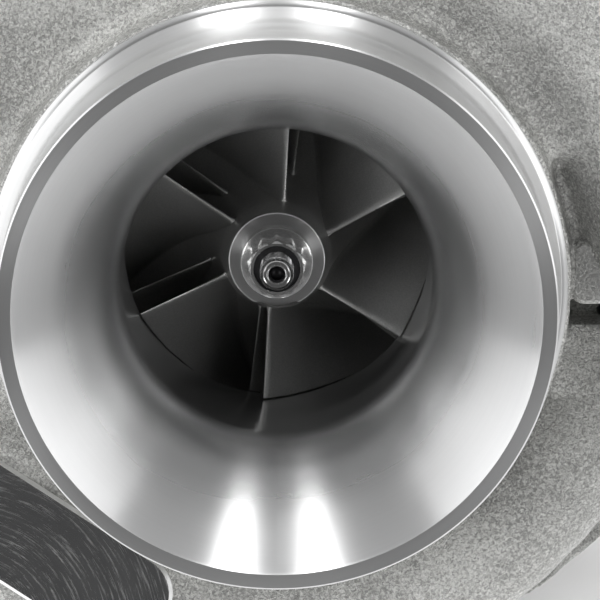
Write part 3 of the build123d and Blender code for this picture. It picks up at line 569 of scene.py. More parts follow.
def turned_finish(
    name, dark, light, roughness, anisotropic, ring_depth, metallic=1.0, ring=0.0004, deep=None
):
    """Turned metal: marks that run round the shaft and stretch the highlights across them.

    deep is the roughness the metal has once it is a throat's depth in, if it isn't the same all along.
    """
    f = Finish(name, metallic, roughness, anisotropic)
    radius, depth, clock = f.around_shaft()
    round_slowly = f.math("MULTIPLY", clock, ring * 0.6)
    rings = f.noise(ring, detail=3.0, rough=0.7, place=f.joined(radius, depth, round_slowly))
    smears = f.noise(0.012, detail=3.0, place=f.joined(radius, depth, f.math("MULTIPLY", clock, 0.004)))
    shade = f.math("ADD", f.math("MULTIPLY", rings, 0.4), f.math("MULTIPLY", smears, 0.6))
    colour = f.colour(shade, dark, light)
    gloss = f.spread(smears, 0.3, 0.7, roughness * 0.85, roughness * 1.2)
    if deep:
        gloss = f.math("MULTIPLY", gloss, f.spread(depth, 0.005, THROAT_Y * MM, 1.0, deep / roughness))
    f.lathe_tangent()
    return f.finish(colour, gloss, f.bump(rings, ring_depth, 0.6))


def milled_finish():
    """The pad's face: overlapping curved marks of a face mill, dark and glossy between them. The marks are
    coloured near white: painted highlights along them.
    """
    f = Finish("milled_aluminium", 1.0, 0.3, 0.6)
    centre = clock_point(PAD_CLOCK + 6, PAD_IN + 34, PAD_Y) * MM
    parts = f.add("ShaderNodeSeparateXYZ")
    f.link(f.place, parts.inputs[0])
    x, y, z = parts.outputs
    dx, dz = f.math("SUBTRACT", x, float(centre[0])), f.math("SUBTRACT", z, float(centre[2]))
    away = f.math("SQRT", f.math("ADD", f.math("MULTIPLY", dx, dx), f.math("MULTIPLY", dz, dz)))
    way = f.math("ARCTAN2", dx, dz)
    along_mark = f.math("MULTIPLY", way, 0.0015)
    marks = f.noise(0.0005, detail=4.0, rough=0.75, place=f.joined(away, 0.0, along_mark))
    broad = f.noise(0.004, detail=2.0, place=f.joined(away, 0.0, f.math("MULTIPLY", way, 0.004)))
    sharp = f.spread(marks, 0.52, 0.68, 0.0, 1.0)
    shade = f.math("ADD", f.math("MULTIPLY", sharp, 0.6), f.math("MULTIPLY", broad, 0.3))
    # near white along the marks, dark between them: painted highlights on the mill marks
    colour = f.colour(shade, (0.42, 0.425, 0.43), (0.95, 0.95, 0.95))
    gloss = f.spread(sharp, 0.0, 1.0, 0.22, 0.42)
    return f.finish(colour, gloss, f.bump(marks, 0.00003, 0.8))


def plain_metal(name, dark, light, roughness, grain, depth, metallic=1.0):
    """Metal with a fine even grain, faint scratches and slight patches."""
    f = Finish(name, metallic, roughness)
    fine = f.noise(grain, detail=2.0)
    patches = f.noise(0.008, detail=4.0, rough=0.6)
    stretched = f.add("ShaderNodeMapping")
    stretched.inputs["Scale"].default_value = (1.0, 0.08, 1.0)
    f.link(f.place, stretched.inputs["Vector"])
    scratches = f.noise(0.0005, detail=2.0, place=stretched.outputs[0])
    shade = f.math("ADD", f.math("MULTIPLY", patches, 0.6), f.math("MULTIPLY", scratches, 0.4))
    colour = f.colour(f.spread(shade, 0.3, 0.7, 0.0, 1.0), dark, light)
    gloss = f.spread(patches, 0.3, 0.7, roughness * 0.8, roughness * 1.25)
    return f.finish(colour, gloss, f.bump(fine, depth, 0.5))


def rubber_finish():
    f = Finish("black_rubber", 0.0, 0.55)
    fine = f.noise(0.0003, detail=2.0)
    patches = f.noise(0.006, detail=3.0)
    colour = f.colour(patches, (0.012, 0.012, 0.013), (0.03, 0.03, 0.032))
    return f.finish(colour, f.spread(patches, 0.3, 0.7, 0.45, 0.7), f.bump(fine, 0.00002, 0.5))


CAST_ALUMINIUM = cast_finish(
    "cast_aluminium", (0.33, 0.33, 0.32), (0.76, 0.76, 0.74), 0.00055, 0.7, 0.42, 0.52, 0.00045
)
DRESSED_CAST = cast_finish(
    "dressed_cast", (0.45, 0.45, 0.44), (0.75, 0.75, 0.73), 0.00055, 1.0, 0.34, 0.42, 0.00012
)
TURNED_ALUMINIUM = turned_finish(
    "turned_aluminium", (0.66, 0.665, 0.67), (0.80, 0.80, 0.80), 0.32, 0.86, 0.000006
)
BORE_ALUMINIUM = turned_finish(
    "bore_aluminium", (0.70, 0.705, 0.71), (0.82, 0.82, 0.82), 0.31, 0.93, 0.000004, deep=0.17
)
MILLED_ALUMINIUM = milled_finish()
# chamfers coloured lighter than the machined faces beside them: a painted highlight along each edge
PAINTED_EDGE_HIGHLIGHT = turned_finish("painted_edge_highlight", (0.82, 0.82, 0.82), (0.92, 0.92, 0.92), 0.3, 0.0, 0.000004)
WHEEL_ALUMINIUM = cast_finish(
    "wheel_aluminium", (0.41, 0.41, 0.40), (0.53, 0.53, 0.52), 0.00022, 0.8, 0.36, 0.44, 0.00002
)
EDGE_ALUMINIUM = plain_metal(
    "blade_edge_aluminium", (0.38, 0.38, 0.375), (0.56, 0.56, 0.55), 0.3, 0.0003, 0.000005
)
PLATE_ALUMINIUM = turned_finish("plate_aluminium", (0.6, 0.6, 0.6), (0.76, 0.76, 0.76), 0.32, 0.6, 0.000006)
IRON = cast_finish(
    "cast_iron", (0.060, 0.056, 0.052), (0.125, 0.118, 0.11), 0.0007, 0.75, 0.5, 0.68, 0.00016
)
HOT_IRON = cast_finish(
    "hot_side_iron", (0.085, 0.075, 0.066), (0.17, 0.155, 0.14), 0.0008, 0.7, 0.52, 0.7, 0.00018
)
TURNED_IRON = turned_finish("turned_iron", (0.24, 0.235, 0.23), (0.38, 0.375, 0.37), 0.36, 0.6, 0.000008)
MACHINED_IRON = plain_metal(
    "machined_iron", (0.26, 0.255, 0.25), (0.40, 0.395, 0.385), 0.34, 0.0003, 0.000012
)
TURBINE_ALLOY = cast_finish(
    "turbine_alloy", (0.10, 0.094, 0.088), (0.2, 0.19, 0.178), 0.0003, 1.0, 0.36, 0.5, 0.00003
)
GROUND_STEEL = turned_finish(
    "ground_steel", (0.6, 0.6, 0.6), (0.78, 0.78, 0.78), 0.17, 0.5, 0.000003, ring=0.0002
)
ZINC_STEEL = plain_metal("zinc_steel", (0.50, 0.51, 0.50), (0.70, 0.71, 0.69), 0.3, 0.0002, 0.000008)
DARK_STEEL = plain_metal("dark_steel", (0.07, 0.07, 0.072), (0.14, 0.14, 0.145), 0.36, 0.0003, 0.00001)
NUT_STEEL = turned_finish(
    "nut_steel", (0.62, 0.62, 0.62), (0.84, 0.84, 0.83), 0.24, 0.75, 0.000004, ring=0.0002
)
BRONZE = turned_finish("bronze", (0.42, 0.25, 0.12), (0.60, 0.38, 0.18), 0.3, 0.4, 0.000006)
RUBBER = rubber_finish()


# ---------------------------------------------------------------- compressor housing
def scroll_radius(clock):
    return SCROLL_BASE + SCROLL_GROWTH * (clock - SCROLL_BASE_CLOCK)


def scroll_centre(clock):
    a = scroll_radius(clock)
    return SCROLL_IN + a, DIFFUSER_Y - EXIT_WIDTH - SCROLL_FORWARD * a


OUTLET_AIM = np.array([cos(radians(SCROLL_END)), 0, -sin(radians(SCROLL_END))])
OUTLET_FROM = clock_point(SCROLL_END, *scroll_centre(SCROLL_END))
OUTLET_TO = OUTLET_FROM + OUTLET_AIM * OUTLET_LENGTH
PAD_OUT = clock_point(PAD_CLOCK, 1, 0)
PAD_ALONG = np.array([PAD_OUT[2], 0, -PAD_OUT[0]])
PAD_MIDDLE = PAD_OUT * (PAD_IN + PAD_WIDE / 2) + PAD_ALONG * PAD_SHIFT + np.array([0, PAD_Y, 0])


def quarter_ellipse(start, end, axial_first, steps=16):
    (r0, y0), (r1, y1) = start, end
    points = []
    for i in range(steps + 1):
        a = i / steps * pi / 2
        if axial_first:
            points.append((r1 - (r1 - r0) * cos(a), y0 + (y1 - y0) * sin(a)))
        else:
            points.append((r0 + (r1 - r0) * sin(a), y1 - (y1 - y0) * cos(a)))
    return points


def inlet_shell():
    """The turned inlet: bellmouth, shroud and diffuser inside; rim, hose seat and shoulder outside."""
    rim_in = INLET_R - INLET_WALL
    bell = smooth_curve(
        [(rim_in, EDGE), (BELL_R, BELL_Y), (THROAT_R, THROAT_Y)], [(-0.9, 1), (-0.64, 1), (0, 1)], 22
    )
    wall_y = DIFFUSER_Y - EXIT_WIDTH - TIP_GAP
    shroud = quarter_ellipse((THROAT_R, TIP_Y), (EXDUCER_R + TIP_GAP, wall_y), True, 20)
    hidden_r = SHOULDER_R - 0.3
    outside = rounded(
        [
            (SCROLL_IN, wall_y, 0.4),
            (SCROLL_IN, 70.0, 0),
            (hidden_r, 66.0, 0),
            (hidden_r, SHOULDER_Y + 1.4, 0),
            (SHOULDER_R, SHOULDER_Y + 1.1, 0),
            (SHOULDER_R, SHOULDER_Y - 0.5, 0),
            (SHOULDER_R - 0.55, SHOULDER_Y - 1.05, 0),
            (SHOULDER_R - 1.2, SHOULDER_Y - 1.2, 0.6),
            (SEAT_R, SEAT_END, 4.0),
            (SEAT_R, LIP_END + 1.6, 1.2),
            (INLET_R, LIP_END, 1.2),
            (INLET_R, EDGE, 0),
            (INLET_R - EDGE, 0, 0),
            (rim_in + EDGE, 0, 0),
        ],
        6,
    )
    straight = [(THROAT_R, THROAT_Y + (TIP_Y - THROAT_Y) * i / 6) for i in range(1, 6)]
    bore = bell + straight + shroud
    outside = [bore[-1]] + outside + [bore[0]]
    return turned_runs([bore, outside], [4, 1], 288)


def compressor_field():
    """Distance field of the sand casting round the turned inlet."""
    f = Field((-98, 18, -92), (142, 95, 105), 0.7)
    turn = np.where(f.clock < TONGUE - 20, f.clock + FULL_TURN, f.clock)
    swept = np.clip(turn, TONGUE, SCROLL_END)
    a = SCROLL_BASE + SCROLL_GROWTH * (swept - SCROLL_BASE_CLOCK)
    middle_r, middle_y = SCROLL_IN + a, DIFFUSER_Y - EXIT_WIDTH - SCROLL_FORWARD * a
    from_middle = np.hypot(f.radius - middle_r, f.y - middle_y)
    start = TONGUE - 6
    past_end = np.where(turn > SCROLL_END, f.radius * np.sin(np.radians(turn - SCROLL_END)), -99)
    before_start = np.where(turn < start, f.radius * np.sin(np.radians(start - turn)), -99)
    beyond = np.maximum(past_end, before_start)

    scroll = np.maximum(from_middle - (a + CAST_WALL), beyond)
    web_front = np.interp(turn, [TONGUE, 130, 315, SCROLL_END], [60.0, 61.0, 35.0, 30.5])
    web = np.maximum(f.radius - middle_r, web_front - f.y)
    web = np.maximum(web, np.maximum(f.y - FLANGE_Y0 - 3, beyond))
    solid = join(scroll, web, 3.5)
    solid = join(solid, f.revolved(ring_corners(45, COLLECTOR_R + CAST_WALL, 58, 83)), 2.5)
    solid = join(solid, f.revolved(ring_corners(50, FLANGE_R, FLANGE_Y0 + 0.3, FLANGE_Y1 - 0.4)), 2.0)
    pipe_end = OUTLET_TO - OUTLET_AIM * 20
    pipe = f.rod(OUTLET_FROM, pipe_end, scroll_radius(SCROLL_END) + CAST_WALL, HOSE_R - 0.4)
    solid = join(solid, pipe, 3.0)
    pad = pad_block(f, 0.5, PAD_Y + 0.7, 70)
    solid = join(solid, pad, 3.0)
    boss_half = (BOSS_LONG / 2 - 0.5, 14, BOSS_HALF - 0.5)
    solid = join(solid, f.block((BOSS_IN + BOSS_LONG / 2, BOSS_Y + 14.8, 0), boss_half, 2.0), 1.6)
    solid = join(solid, f.block((60, 63, -20), (9, 8, 7), 1.0), 1.2)
    solid = join(solid, f.block((57, 54, 11), (6, 12, 6), 2.0), 3.0)
    collar = f.revolved(ring_corners(45, SHOULDER_R + 0.6, SHOULDER_Y + 0.7, 70))
    solid = join(solid, collar, 4.5)

    solid = join(solid, f.block((66, 54, -5), (4.5, 13, 10.5), 1.5), 1.2)
    solid = cut(solid, f.block((61, 49, -9.5), (6.7, 12.5, 3.4), 0.6), 0.8)
    clear = pad_block(f, -1.2, 10, PAD_Y + 0.8)
    solid = cut(solid, clear, 2.5)
    passage = np.maximum(from_middle - a, beyond)
    way_out = f.rod(OUTLET_FROM, OUTLET_TO + OUTLET_AIM, scroll_radius(SCROLL_END), OUTLET_R)
    passage = join(passage, way_out, 2.0)
    passage = np.minimum(passage, f.revolved(ring_corners(SCROLL_IN - 0.5, COLLECTOR_R, COLLECTOR_Y, 88)))
    passage = np.minimum(passage, f.revolved(ring_corners(-5, SCROLL_IN, 81.5, 88)))
    solid = cut(solid, passage, 1.0)
    solid = np.maximum(solid, -f.revolved(ring_corners(-5, SHOULDER_R - 1.5, -5, 99)))
    solid = np.maximum(solid, -f.revolved(ring_corners(-5, PLATE_R + 0.3, DIFFUSER_Y, 99)))
    return f, solid + f.waves(5.0, 0.22, 3) + f.waves(1.6, 0.07, 4)


def pad_block(f, inset, y0, y1):
    """Distance to the pad's outline drawn in by inset, between two depths."""
    u = (f.x - PAD_MIDDLE[0]) * PAD_OUT[0] + (f.z - PAD_MIDDLE[2]) * PAD_OUT[2]
    v = (f.x - PAD_MIDDLE[0]) * PAD_ALONG[0] + (f.z - PAD_MIDDLE[2]) * PAD_ALONG[2]
    side = oblong_distance(u, v, PAD_WIDE / 2 - inset, PAD_LONG / 2 - inset, PAD_CORNER - inset)
    return np.maximum(side, np.maximum(y0 - f.y, f.y - y1)).astype(np.float32)


def face_shells(middle, across, half_u, half_v, corner, chamfer, wall):
    """A machined face that looks forward: its chamfer and its wall back into the casting."""
    along = np.array([across[2], 0, -across[0]])
    rings = []
    for inset, back in ((0.0, wall), (0.0, chamfer), (chamfer, 0.0)):
        for u, v in oblong_outline(half_u - inset, half_v - inset, corner - inset, 10):
            rings.append(middle + across * u + along * v + np.array([0, back, 0]))
    count = len(rings) // 3
    walls = grid_quads(3, count, False, True)
    top = list(range(2 * count, 3 * count))
    fan = [(top[i], top[(i + 1) % count], 3 * count) for i in range(count)]
    side = Shell(rings, walls[:count], material=0)
    # the chamfer takes slot 3, which on the pad is the painted edge highlight
    edge = Shell(rings, walls[count:], material=3)
    face = Shell(rings + [middle], np.empty((0, 4)), fan, material=2)
    return [outward(side), outward(edge), outward(face)]


def outward(shell):
    """The same shell with its faces looking away from the casting: towards -Y or away from its middle."""
    faces = shell.quads if len(shell.quads) else shell.tris
    a, b, c = [shell.points[faces[:, k]] for k in range(3)]
    normal = np.cross(b - a, c - a)
    middle = shell.points[faces.reshape(-1)].mean(0) + np.array([0, 3.0, 0])
    if np.sum(normal * ((a + b + c) / 3 - middle)) < 0:
        shell.quads, shell.tris = shell.quads[:, ::-1], shell.tris[:, ::-1]
    return shell


def outlet_shell():
    """The machined end of the outlet pipe: hose seat, bead and bore."""
    seat = HOSE_R - 0.65
    outline = rounded(
        [
            (OUTLET_R - 0.05, -24, 0),
            (OUTLET_R - 0.05, -0.5, 0),
            (OUTLET_R + 0.4, 0, 0),
            (HOSE_R - 1.2, 0, 0.8),
            (HOSE_R, -1.6, 1.0),
            (HOSE_R, -4.4, 1.0),
            (seat, -6.0, 1.0),
            (seat, -27.0, 0.8),
            (seat - 1.5, -29.0, 0),
        ]
    )
    return turned(outline, material=1, steps=160).moved(OUTLET_TO, OUTLET_AIM)


def rear_ring_shell():
    """The turned pocket and rear face of the flange, which the backplate sits in."""
    inner = PLATE_R + 0.1
    outline = rounded(
        [
            (inner, DIFFUSER_Y, 0),
            (inner, FLANGE_Y1 - 0.4, 0),
            (inner + 0.4, FLANGE_Y1, 0),
            (FLANGE_R - 0.9, FLANGE_Y1, 0),
            (FLANGE_R - 0.4, FLANGE_Y1 - 0.5, 0),
            (FLANGE_R - 0.4, FLANGE_Y1 - 3.0, 0),
            (FLANGE_R - 4.0, DIFFUSER_Y - 1, 0),
            (SCROLL_IN + 10, DIFFUSER_Y - 1, 0),
            (SCROLL_IN + 10, DIFFUSER_Y, 0),
        ]
    )
    return turned(outline, material=1, steps=224)


def compressor_housing():
    field, distance = compressor_field()
    casting = field.skin(distance)
    boss_middle = np.array([BOSS_IN + BOSS_LONG / 2, BOSS_Y, 0])
    shells = [casting, outlet_shell(), rear_ring_shell()] + inlet_shell()
    shells += face_shells(PAD_MIDDLE, PAD_OUT, PAD_WIDE / 2, PAD_LONG / 2, PAD_CORNER, 0.7, 8.0)
    boss = face_shells(boss_middle, np.array([1.0, 0, 0]), BOSS_LONG / 2, BOSS_HALF, 2.5, 0.8, 6.0)
    for shell, finish in zip(boss, (0, 0, 5)):
        shell.material = finish
    shells += boss
    return make_piece(
        "compressor_housing_casting",
        shells,
        [CAST_ALUMINIUM, TURNED_ALUMINIUM, MILLED_ALUMINIUM, PAINTED_EDGE_HIGHLIGHT, BORE_ALUMINIUM, DRESSED_CAST],
        "casing",
        ["compressor_housing"],
        38.0,
    )


# ---------------------------------------------------------------- bladed wheels
def blade_shell(hub, tip, clocks, wrap, start, thick, sink_way, rounding, material=0, edge_material=0):
    """One blade as a closed loft from hub to tip.

    hub(u) and tip(u) give (radius, depth), clocks are the leading edge's (hub, tip) clock angles, wrap(u) the
    angle gained on the way, thick the (root, tip) thickness round the shaft. The root spreads into a fillet,
    and the leading edge is rounded over the given share of the blade.
    """
    chord, span = 56, 18
    u = start + (1 - start) * np.linspace(0, 1, chord) ** 1.7
    v = np.concatenate([[0], np.linspace(0, 1, span - 1) ** 1.6])
    nose = np.clip((u - start) / rounding, 0, 1)
    nose = np.sqrt(np.maximum(1 - (1 - nose) ** 2, 0))
    nose[0] = 0.12
    nose = nose * (0.45 + 0.55 * np.clip((u - start) / 0.25, 0, 1))
    sides = []
    for side in (1, -1):
        rows = []
        for j, share in enumerate(v):
            foot = max(0.0, 1 - share / 0.06)
            width = thick[0] + (thick[1] - thick[0]) * share + 1.3 * foot**2.2
            row = []
            for i in range(chord):
                (hr, hy), (tr, ty) = hub(u[i]), tip(u[i])
                if j == 0:
                    hr, hy = hr + sink_way(u[i])[0], hy + sink_way(u[i])[1]
                turn = wrap(u[i])
                low = clock_point(clocks[0] + turn, hr, hy)
                high = clock_point(clocks[1] + turn, tr, ty)
                point = low + (high - low) * share
                around = np.array([point[2], 0, -point[0]]) / hypot(point[0], point[2])
                row.append(point + around * side * width / 2 * nose[i])
            rows.append(row)
        sides.append(np.array(rows))
    loop = np.concatenate([sides[0], sides[1][:, ::-1]], axis=1)
    walls = grid_quads(span, 2 * chord, False, True)
    caps = []
    for row in (0, span - 1):
        base = row * 2 * chord
        i = np.arange(chord - 1)
        last = base + 2 * chord - 1 - i
        quads = np.stack([base + i, base + i + 1, last - 1, last], axis=1)
        caps.append(quads[:, ::-1] if row else quads)
    column = np.arange(len(walls)) % (2 * chord)
    at_edge = (column <= 0) | (column >= 2 * chord - 2)
    on_sides = np.where(at_edge, edge_material, material)
    materials = np.concatenate([on_sides, np.full(2 * (chord - 1), material)])
    shell = Shell(loop, np.concatenate([walls] + caps), material=materials)
    if enclosed(shell) < 0:
        shell.quads = shell.quads[:, ::-1]
    return shell


def ellipse_path(start, end, axial_first):
    (r0, y0), (r1, y1) = start, end

    def at(u):
        a = u * pi / 2
        if axial_first:
            return r1 - (r1 - r0) * cos(a), y0 + (y1 - y0) * sin(a)
        return r0 + (r1 - r0) * sin(a), y1 - (y1 - y0) * cos(a)

    return at


def compressor_wheel():
    hub_path = ellipse_path((ROOT_R, ROOT_Y), (EXDUCER_R, DIFFUSER_Y), True)
    tip_path = ellipse_path((INDUCER_R, TIP_Y), (EXDUCER_R, DIFFUSER_Y - EXIT_WIDTH), True)

    def wrap(u):
        return -(51.0 * (1.0 - (1.0 - u) ** 2) + 16.0 * u * u)

    def sink(u):
        return -0.8 * cos(u * pi / 2), 0.8 * sin(u * pi / 2)

    bore = STUB_R + 0.02
    curve = [hub_path(i / 30) for i in range(31)]
    back = rounded(
        [(EXDUCER_R, WHEEL_BACK, 0.3), (13.0, WHEEL_BACK, 0), (bore, WHEEL_BACK, 0), (bore, ROOT_Y + 3, 0)]
    )
    hub = turned([(NOSE_R - 0.1, NOSE_Y + EDGE + 0.5)] + curve + back + [(NOSE_R - 2, ROOT_Y + 3)], steps=240)
    shells = [hub] + nose_shells(bore)
    step = FULL_TURN / FULL_BLADES
    for first, start, rounding in ((0.0, 0.0, 0.02), (step / 2, SPLITTER_START, 0.02)):
        one = blade_shell(
            hub_path,
            tip_path,
            (ROOT_CLOCK + first, TIP_CLOCK + first),
            wrap,
            start,
            (2.0, 1.2),
            sink,
            rounding,
            0,
            3,
        )
        shells += [one.turned_by(step * i) for i in range(FULL_BLADES)]
    return make_piece(
        "compressor_wheel_casting",
        shells,
        [WHEEL_ALUMINIUM, NOSE_ALUMINIUM, PAINTED_EDGE_HIGHLIGHT, EDGE_ALUMINIUM],
        "rotor",
        ["compressor_wheel"],
        35.0,
    )


def nose_shells(bore):
    """The hub's turned nose, with a shallow balancing cut ground across its lowest edge."""
    chord_z = -NOSE_R + 1.1
    cut_y = NOSE_Y + 1.5

    def grind(angle, radius, depth):
        z = radius * np.cos(angle)
        under = z < chord_z
        low = np.where(under, np.maximum(depth, cut_y), depth)
        return radius, low

    face = [(bore, ROOT_Y + 3), (bore, NOSE_Y + 0.2), (bore + 0.2, NOSE_Y)]
    face += [(r, NOSE_Y) for r in np.linspace(6.5, NOSE_R - EDGE, 14)]
    turns = [pi / 2 * step / 6 for step in range(7)]
    # the chamfer takes slot 2, the painted edge highlight
    chamfer = [(NOSE_R - EDGE * (1 - sin(a)), NOSE_Y + EDGE * (1 - cos(a))) for a in turns]
    side = [(NOSE_R, NOSE_Y + EDGE), (NOSE_R + 0.03, NOSE_Y + 1.0), (NOSE_R + 0.1, NOSE_Y + 1.6)]
    side += [(NOSE_R + 0.35, ROOT_Y - 2.5), (ROOT_R, ROOT_Y), (ROOT_R - 1.0, ROOT_Y + 3), (bore, ROOT_Y + 3)]
    return turned_runs([face, chamfer, side], [1, 2, 0], 360, grind)


NOSE_ALUMINIUM = turned_finish(
    "nose_aluminium", (0.55, 0.55, 0.55), (0.7, 0.7, 0.7), 0.32, 0.92, 0.000004, ring=0.0003
)


def turbine_wheel():
    hub_path = ellipse_path((TURBINE_R, TURBINE_TIP_Y0), (TURBINE_HUB_R, TURBINE_EXIT_Y), False)
    tip_path = ellipse_path((TURBINE_R, TURBINE_TIP_Y1), (TURBINE_EXIT_R, TURBINE_EXIT_Y), False)

    def wrap(u):
        return -45.0 * u * u

    def sink(u):
        return -0.8 * sin(u * pi / 2), -0.8 * cos(u * pi / 2)

    curve = [hub_path(i / 30) for i in range(31)]
    nose = rounded(
        [
            (TURBINE_HUB_R - 0.4, 206.5, 1.5),
            (6.0, 208.6, 0.6),
            (3.2, 208.6, 0.4),
            (2.8, 207.0, 0),
            (0.0, 206.6, 0),
        ]
    )
    back = rounded(
        [(0.0, TURBINE_BACK, 0), (TURBINE_R - 1, TURBINE_BACK, 0.3), (TURBINE_R, TURBINE_BACK + 0.9, 0.3)]
    )
    hub = turned(curve + nose + back, steps=200)
    one = blade_shell(hub_path, tip_path, (0.0, 0.0), wrap, 0.0, (2.6, 1.3), sink, 0.05)
    step = FULL_TURN / TURBINE_BLADES
    shells = [hub] + [one.turned_by(step * i) for i in range(TURBINE_BLADES)]
    return make_piece(
        "turbine_wheel_casting", shells, [TURBINE_ALLOY], "rotor", ["turbine_wheel"], 35.0
    )


# ---------------------------------------------------------------- nut, shaft and bolts
def polygon_reach(angle, apothem, sides, offset=0.0):
    """Distance from the centre to a regular polygon's side, at an angle."""
    part = 2 * pi / sides
    return apothem / np.cos((angle + offset + part / 2) % part - part / 2)


def compressor_nut():
    """Twelve-point flange nut, with its points chamfered and a shallow counterbore. The bore and counterbore
    are dark steel: painted shade in the recess.
    """
    top, flange_top = 41.3, 46.9
    apothem, crest, counterbore = 4.75, 5.4, 4.34
    bore = STUB_R + 0.02

    def star(angle, radius, depth):
        points = np.maximum(polygon_reach(angle, apothem, 6), polygon_reach(angle, apothem, 6, pi / 6))
        limit = np.minimum(points, crest)
        cone = apothem + 0.15 + (depth - top) * 1.3
        body = np.minimum(limit, cone)
        return np.where(radius > 99, body, radius), depth

    body_rows = [(100.0, top + step) for step in (0.0, 0.15, 0.3, 0.5, 1.0, 3.0, 5.3)]
    # dark steel in the bore and counterbore (slot 1): painted shade in the recess
    recess = [(bore, NOSE_Y), (bore, top + 0.9), (counterbore, top + 0.9), (counterbore, top + 0.1)]
    outline = [(counterbore, top + 0.1), (counterbore + 0.1, top)]
    outline += body_rows
    outline += [(100.0, flange_top - 0.1), (5.6, flange_top), (6.5, flange_top)]
    outline += [(6.72, flange_top + 0.1), (6.82, flange_top + 0.35)]
    outline += [(6.82, NOSE_Y - 0.2), (6.7, NOSE_Y), (bore, NOSE_Y)]
    shells = turned_runs([recess, outline], [1, 0], 288, star)
    finishes = [NUT_STEEL, DARK_STEEL]
    replaced = ["compressor_nut"]
    name = "compressor_nut_twelve_point"
    return make_piece(name, shells, finishes, "rotor", replaced, 28.0)


def shaft():
    """Ground shaft with a threaded stub: the thread is a groove that climbs round it."""
    pitch, depth_of_thread = 0.8, 0.42
    thread_end = 50.5

    def thread(angle, radius, depth):
        phase = (depth / pitch - angle / (2 * pi)) % 1.0
        groove = depth_of_thread * np.clip(1.25 - 2.5 * np.abs(phase - 0.5) * 2, 0, 1)
        fade = np.clip((depth - SHAFT_END - 0.9) / 0.8, 0, 1) * np.clip((thread_end - depth) / 1.0, 0, 1)
        on_stub = np.abs(radius - STUB_R) < 0.01
        return np.where(on_stub, radius - groove * fade, radius), depth

    centre = [(0.0, SHAFT_END + 3.7), (1.22, SHAFT_END + 2.5), (1.22, SHAFT_END + 0.5), (1.6, SHAFT_END)]
    tip = [(1.75, SHAFT_END + 0.12), (1.9, SHAFT_END), (2.3, SHAFT_END), (2.4, SHAFT_END + 0.15)]
    tip += [(2.55, SHAFT_END + 0.1), (2.65, SHAFT_END + 0.2)]
    tip += [(2.75, SHAFT_END + 0.5), (STUB_R, SHAFT_END + 0.9)]
    stub = [(STUB_R, y) for y in np.arange(SHAFT_END + 1.0, thread_end + 0.05, 0.08)]
    rest = rounded(
        [
            (STUB_R, JOURNAL_Y, 0),
            (JOURNAL_R, JOURNAL_Y, 0.3),
            (JOURNAL_R, 124, 0),
            (4.7, 126, 1.0),
            (4.7, 139, 1.0),
            (JOURNAL_R, 141, 0),
            (JOURNAL_R, SEAL_HUB_Y, 0),
            (SEAL_HUB_R, SEAL_HUB_Y, 0.3),
            (SEAL_HUB_R, 163.5, 0),
            (7.0, 163.5, 0),
            (7.0, 165.5, 0),
            (SEAL_HUB_R, 165.5, 0),
            (SEAL_HUB_R, TURBINE_BACK, 0),
            (0.0, TURBINE_BACK, 0),
        ]
    )
    shells = turned_runs([centre, centre[-1:] + tip + stub + rest], [1, 0], 96, thread)
    finishes = [GROUND_STEEL, DARK_STEEL]
    return make_piece("shaft_ground", shells, finishes, "rotor", ["shaft"], 30.0)


def bolt_shell(head_y, direction, shank_r, length, across_flats, head_height):
    """A flange-head bolt on the shaft's axis: chamfered hexagon, round flange, threaded shank."""
    flange_height = 1.2
    flange_r = across_flats * 0.66
    apothem = across_flats / 2
    pitch = shank_r * 0.34
    top = flange_height + head_height
    marker = 100.0

    def shape(angle, radius, depth):
        hexagon = polygon_reach(angle, apothem, 6)
        away = -direction * (depth - head_y)
        cone = apothem * 0.97 + (top - away) * 1.7
        head = np.minimum(hexagon, cone)
        phase = (depth / pitch - angle / (2 * pi)) % 1.0
        groove = pitch * 0.5 * (1 - np.abs(phase - 0.5) * 2)
        run = direction * (depth - head_y)
        fade = np.clip(run / 1.0, 0, 1) * np.clip((length - 0.6 - run) / 0.4, 0, 1)
        radius = np.where(radius > marker - 1, head, radius)
        return np.where(np.abs(radius - shank_r) < 1e-6, radius - groove * fade, radius), depth

    up, down = -direction, direction
    dished = head_y + up * (top - 0.3)
    outline = [(0.0, dished), (apothem * 0.6, dished), (apothem * 0.7, head_y + up * top)]
    outline += [(marker, head_y + up * (top - step)) for step in (0.0, 0.25, 0.5, 0.9, head_height)]
    outline += [(apothem * 1.18, head_y + up * flange_height)]
    outline += [(flange_r - 0.3, head_y + up * (flange_height - 0.35))]
    outline += [(flange_r, head_y + up * 0.5), (flange_r, head_y + up * 0.1)]
    outline += [(flange_r - 0.1, head_y), (shank_r + 0.4, head_y)]
    outline += [(shank_r, head_y + down * run) for run in np.arange(0.2, length - 0.5, pitch / 7)]
    outline += [(shank_r * 0.8, head_y + down * length), (0.0, head_y + down * length)]
    return turned(outline, steps=72, wobble=shape)


def bolts(name, one, count, radius, nodes):
    step = FULL_TURN / count
    lifted = Shell(one.points + np.array([0, 0, radius]), one.quads, one.tris)
    shells = [lifted.turned_by(step / 2 + step * i) for i in range(count)]
    return make_piece(name, shells, [ZINC_STEEL], "casing", nodes, 30.0)


